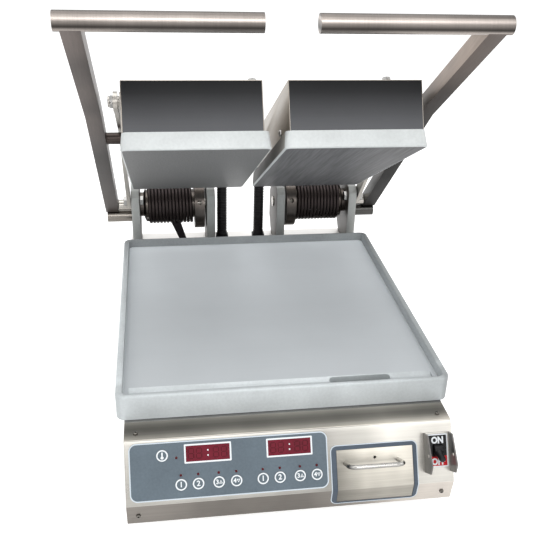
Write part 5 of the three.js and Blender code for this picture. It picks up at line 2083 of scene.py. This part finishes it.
@dataclass
class PlatenUnit:
    """One side's platen, hood, bracket and conduit.

    Sizes of the hood and the casting are in the platens' frame: near and far from the grill's
    middle, distances back, and heights. The conduit's own are in the drawing frame.
    """

    shop: Workshop
    side: Side
    conduit_x: float
    lid_x: float
    lid_back: float
    near: float = 14.0
    hood_far: float = 167.5
    hood_front: float = -171.0
    hood_back: float = 135.5
    hood_top: float = 30.3
    face: float = -46.7
    shoulder: float = 20.0
    cast_x: Pair = (10.0, 167.0)
    cast_front: float = -175.0
    cast_back: float = 152.0
    screw_backs: Pair = (-105.0, 108.0)
    screw_height: float = -16.0
    hose: float = 8.0
    valley: float = 6.6
    bore: float = 5.5
    pitch: float = 4.4
    hose_y: float = 457.0
    hose_foot: float = 120.3
    split: float = 208.0
    bend: float = 37.5
    gland: Triple = (0.0, 138.8, 2.0)
    cuff: float = 5.0
    gap: float = 0.02
    foot_hold: float = 8.0

    def build(self) -> None:
        """Builds the platen's pieces."""
        name = self.side.label
        ground = PLATEN_FACE if self.side is Side.LEFT else PLATEN_GROUND
        place = LAYOUT.platen_place()
        down, front = -Vector(place.out), -Vector(place.up)
        # The right platen's inner side takes a darker copy of the casting, which is painted shade.
        self.shop.carry(
            f"{name}_cast_platen", [PLATEN_CAST, ground, PLATEN_SIDE_SHADED], 0.0,
            [Softening(self._corner_edge, 7.0, 5, 0), Softening(self._face_edge, 2.0, 4, 0),
             Softening(self._shoulder_edge, 2.6, 4, 0)],
            [
                (1, lambda middle, normal: normal.dot(down) > 0.98
                 and place.local(middle)[2] < self.face + 2),
                (2, lambda middle, normal: self.side is Side.RIGHT and normal.x < -0.85
                 and middle.x < self.near + 12.0),
            ],
        )
        # The hood's front takes a dark copy of the sheet, which paints a dark reflection.
        self.shop.carry(
            f"{name}_platen_hood", [HOOD_STEEL, HOOD_FRONT_SHADED], 0.0,
            [Softening(self._hood_edge, 1.0, 3, 0)],
            [(1, lambda middle, normal: normal.dot(front) > 0.98
              and place.local(middle)[1] < self.hood_front + 0.5)],
        )
        self.shop.carry(f"{name}_platen_bracket", LINK_STEEL, 0.6)
        self.shop.carry(f"{name}_conduit_gland", PLASTIC, 0.6)
        self.conduit()
        self.screws()

    def _face_edge(self, middle: Vector) -> bool:
        """True on the outline of the platen's cooking face."""
        return meets(LAYOUT.platen_place().local(middle)[2], self.face)

    def _shoulder_edge(self, middle: Vector) -> bool:
        """True on the outline of the casting's upper face.

        Args:
            middle: Middle of an edge.

        Returns:
            Whether it lies there.
        """
        _, back, up = LAYOUT.platen_place().local(middle)
        beside = abs(middle.x) < self.cast_x[0] or abs(middle.x) > self.cast_x[1]
        outside = beside or back < self.cast_front or back > self.cast_back
        return meets(up, self.face + self.shoulder) and outside

    def _corner_edge(self, middle: Vector) -> bool:
        """True on the casting's four upright corners.

        Args:
            middle: Middle of an edge.

        Returns:
            Whether it lies there.
        """
        _, back, up = LAYOUT.platen_place().local(middle)
        on_wall = self.face + 3 < up < self.face + self.shoulder - 3
        return on_wall and (back < self.cast_front + 1.0 or back > self.cast_back - 1.0)

    def _hood_edge(self, middle: Vector) -> bool:
        """True on the folded edges of the hood's box.

        Args:
            middle: Middle of an edge.

        Returns:
            Whether it lies there.
        """
        _, back, up = LAYOUT.platen_place().local(middle)
        at_end = meets(back, self.hood_front, self.hood_back)
        at_side = meets(abs(middle.x), self.near, self.hood_far)
        at_top = meets(up, self.hood_top)
        return (at_end + at_side + at_top) >= 2

    def route(self) -> tuple[Array, Array]:
        """The conduit's route: up from the deck, round one bend, and into the hood's back.

        The bend turns by a right angle less the platen's tilt, about a centre one bend radius
        in front of the upright run, and the last run is straight to the hood's gland.

        Returns:
            Distances along the route, and its points in (y, z).
        """
        tilt = math.radians(LAYOUT.platen_tilt)
        end = LAYOUT.platen_place().points(np.array(self.gland))[1:]
        lead = (self.hose_y - self.bend + self.bend * math.sin(tilt) - end[0]) / math.cos(tilt)
        lead_start = end + lead * np.array([math.cos(tilt), -math.sin(tilt)])
        centre = lead_start - self.bend * np.array([math.sin(tilt), math.cos(tilt)])
        bent = np.linspace(0, np.pi / 2 - tilt, 40)
        arc = centre + self.bend * np.stack([np.cos(bent), np.sin(bent)], axis=1)
        points = np.concatenate([[[self.hose_y, self.hose_foot]], arc, [end]])
        steps = np.linalg.norm(np.diff(points, axis=0), axis=1)
        return np.concatenate([[0.0], np.cumsum(steps)]), points

    def _hose_piece(self, start: float, stop: float, cuffs: Pair) -> Shape:
        """A length of corrugated hose between two distances on the route.

        The outer radius swings between crest and valley as a rounded wave of the rib pitch,
        and is plain along the cuffs. The bore is plain, and joins the outside at both ends.

        Args:
            start: Where it starts.
            stop: Where it ends.
            cuffs: Lengths of the plain cuffs at its two ends.

        Returns:
            The shape.
        """
        distances, points = self.route()
        ribs = round((stop - start - sum(cuffs)) / self.pitch)
        ribbed = np.linspace(start + cuffs[0], stop - cuffs[1], ribs * 6 + 1)
        along = np.concatenate([[start], ribbed, [stop]])
        wave = (along - start - cuffs[0]) / (stop - start - sum(cuffs)) * ribs
        crest = np.clip(0.5 + 0.75 * np.cos(wave * 2 * np.pi), 0, 1)
        radius = self.valley + (self.hose - self.valley) * crest
        radius[[0, -1]] = self.hose
        y, z = (np.interp(along, distances, column) for column in points.T)
        path = np.stack([np.full(len(along), self.conduit_x), y, z], axis=1)
        outside = swept(path, (1.0, 0.0, 0.0), radius, 20)
        inside = swept(path, (1.0, 0.0, 0.0), self.bore, 20)
        return Shape().loft(np.concatenate([outside, inside[::-1]]), hoop=True)

    def conduit(self) -> None:
        """The conduit in two lengths, which meet where it bends as the arm comes down."""
        name = self.side.label
        distances, _ = self.route()
        joint = self.split - self.hose_foot
        low = (0.0, self.hose_y, self.hose_foot + self.foot_hold)
        middle = (0.0, self.hose_y, self.split)
        high = tuple(LAYOUT.platen_place().points(np.array(self.gland)))
        lower = self._hose_piece(0.0, joint, (self.cuff, 0.0))
        upper = self._hose_piece(joint + self.gap, float(distances[-1]), (0.0, self.cuff))
        for label, shape, bodies, ends in (
            ("lower", lower, ("base", f"{name}_arm"), (low, middle)),
            ("upper", upper, (f"{name}_arm", f"{name}_platen"), (middle, high)),
        ):
            node = f"{name}_conduit_{label}"
            self.shop.flex(f"{node}_hose", shape, HOSE, bodies, ends, node)

    def screws(self) -> None:
        """Screws on the inner wall of the hood, and the nut of its lid."""
        name, sign = self.side.label, self.side.value
        place = LAYOUT.platen_place()
        shape = Shape()
        for back in self.screw_backs:
            spot = place.shifted(sign * self.near, back, self.screw_height)
            wall = Place(spot.origin, spot.up, spot.out, (float(-sign), 0.0, 0.0))
            shape.join(HOOD_SCREW.shape(wall))
        lid = place.shifted(self.lid_x, self.hood_front + self.lid_back, self.hood_top)
        shape.join(LID_NUT.shape(lid))
        self.shop.build(f"{name}_hood_screws", shape, BOLT_STEEL, f"{name}_platen")


# Studio


@dataclass(frozen=True)
class Lamp:
    """A soft square lamp.

    Args:
        name: Its name.
        place: Where it stands, in metres.
        size: Its width and height.
        power: Its power in watts.
    """

    name: str
    place: Triple
    size: Pair
    power: float


@dataclass(frozen=True)
class Studio:
    """The camera, the pale floor, the world and the soft lamps."""

    eye: Triple = (-0.12832, -0.90870, 0.641743)
    turn: Triple = (62.05380, -2.01963, -8.72081)
    lens: float = 53.2064
    shift: Pair = (-0.034505, 0.035252)
    target: Triple = (0.0, 0.0, 0.25)
    ambient: float = 0.68
    floor_radius: float = 12.0
    floor_shade: float = 0.85
    floor_glow: float = 0.55
    lamps: tuple[Lamp, ...] = (
        Lamp("front_box", (0.15, -2.1, 1.55), (1.5, 1.1), 18.0),
        Lamp("left_box", (-2.0, -0.9, 1.5), (1.2, 1.4), 7.0),
        Lamp("right_box", (2.0, -0.4, 1.4), (1.2, 1.4), 5.0),
        Lamp("top_box", (0.0, 0.4, 2.2), (1.6, 1.6), 16.0),
    )

    def camera(self) -> None:
        """Places the camera at the viewing angle of the picture."""
        data = bpy.data.cameras.new("view")
        data.lens = self.lens
        data.sensor_width = 36.0
        data.sensor_fit = "HORIZONTAL"
        data.shift_x, data.shift_y = self.shift
        data.clip_start = 0.01
        camera = bpy.data.objects.new("view", data)
        camera.location = self.eye
        camera.rotation_euler = [math.radians(angle) for angle in self.turn]
        bpy.context.scene.collection.objects.link(camera)
        bpy.context.scene.camera = camera

    def light(self) -> None:
        """Adds the lamps and the white world, which the camera and gloss see at full white."""
        for lamp in self.lamps:
            data = bpy.data.lights.new(lamp.name, "AREA")
            data.shape = "RECTANGLE"
            data.size, data.size_y = lamp.size
            data.energy = lamp.power
            light = bpy.data.objects.new(lamp.name, data)
            light.location = lamp.place
            aim = Vector(self.target) - Vector(lamp.place)
            light.rotation_euler = aim.to_track_quat("-Z", "Y").to_euler()
            bpy.context.scene.collection.objects.link(light)
        world = bpy.data.worlds.new("studio")
        bpy.context.scene.world = world
        world.use_nodes = True
        nodes = Nodes(world.node_tree)
        strength = nodes.math("MULTIPLY_ADD", self._seen(nodes), 1.0 - self.ambient, self.ambient)
        sky = nodes.add("Background", {"Color": (1.0, 1.0, 1.0, 1.0), "Strength": strength})
        nodes.add("OutputWorld", {"Surface": sky.outputs[0]})

    @staticmethod
    def _seen(nodes: Nodes) -> bpy.types.NodeSocket:
        """Tells the rays that see full white.

        Args:
            nodes: The tree's nodes.

        Returns:
            1 for rays of the camera, of gloss and of transmission, and 0 for the rest.
        """
        path = nodes.add("LightPath").outputs
        seen = nodes.math("MAXIMUM", path["Is Camera Ray"], path["Is Glossy Ray"])
        return nodes.math("MAXIMUM", seen, path["Is Transmission Ray"])

    def floor(self) -> None:
        """The pale floor, a wide disc under the grill that keeps its shadow."""
        mesh = bpy.data.meshes.new("floor")
        ring = level(circle(self.floor_radius, 64), 0.0)
        mesh.from_pydata(ring.tolist(), [], [list(range(len(ring)))])
        floor = bpy.data.objects.new("floor", mesh)
        bpy.context.scene.collection.objects.link(floor)
        material = bpy.data.materials.new("pale_floor")
        material.use_nodes = True
        nodes = Nodes(material.node_tree)
        shader = nodes.add("BsdfPrincipled", {
            "Base Color": (*[self.floor_shade] * 3, 1.0), "Roughness": 0.9,
            "Specular IOR Level": 0.0, "Emission Color": (1.0, 1.0, 1.0, 1.0),
            "Emission Strength": nodes.math("MULTIPLY", self._seen(nodes), self.floor_glow),
        })
        nodes.add("OutputMaterial", {"Surface": shader.outputs[0]})
        floor.data.materials.append(material)


def main() -> None:
    """Builds the studio and every assembly in order."""
    logging.basicConfig(level=logging.INFO, format="%(name)s: %(message)s")
    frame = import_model()
    studio = Studio()
    studio.camera()
    workshop = Workshop(frame)
    for assembly in (Cabinet, Griddle, ControlPanel, DrawerUnit, SwitchUnit):
        assembly(workshop).build()
    for side, *places in ((Side.LEFT, -35.0, -24.0, 14.0), (Side.RIGHT, 23.0, 128.0, 8.0)):
        HingeUnit(workshop, side).build()
        ArmUnit(workshop, side).build()
        PlatenUnit(workshop, side, *places).build()
    studio.floor()
    studio.light()
    bpy.context.scene.view_settings.view_transform = "Standard"


if __name__ == "__main__":
    main()
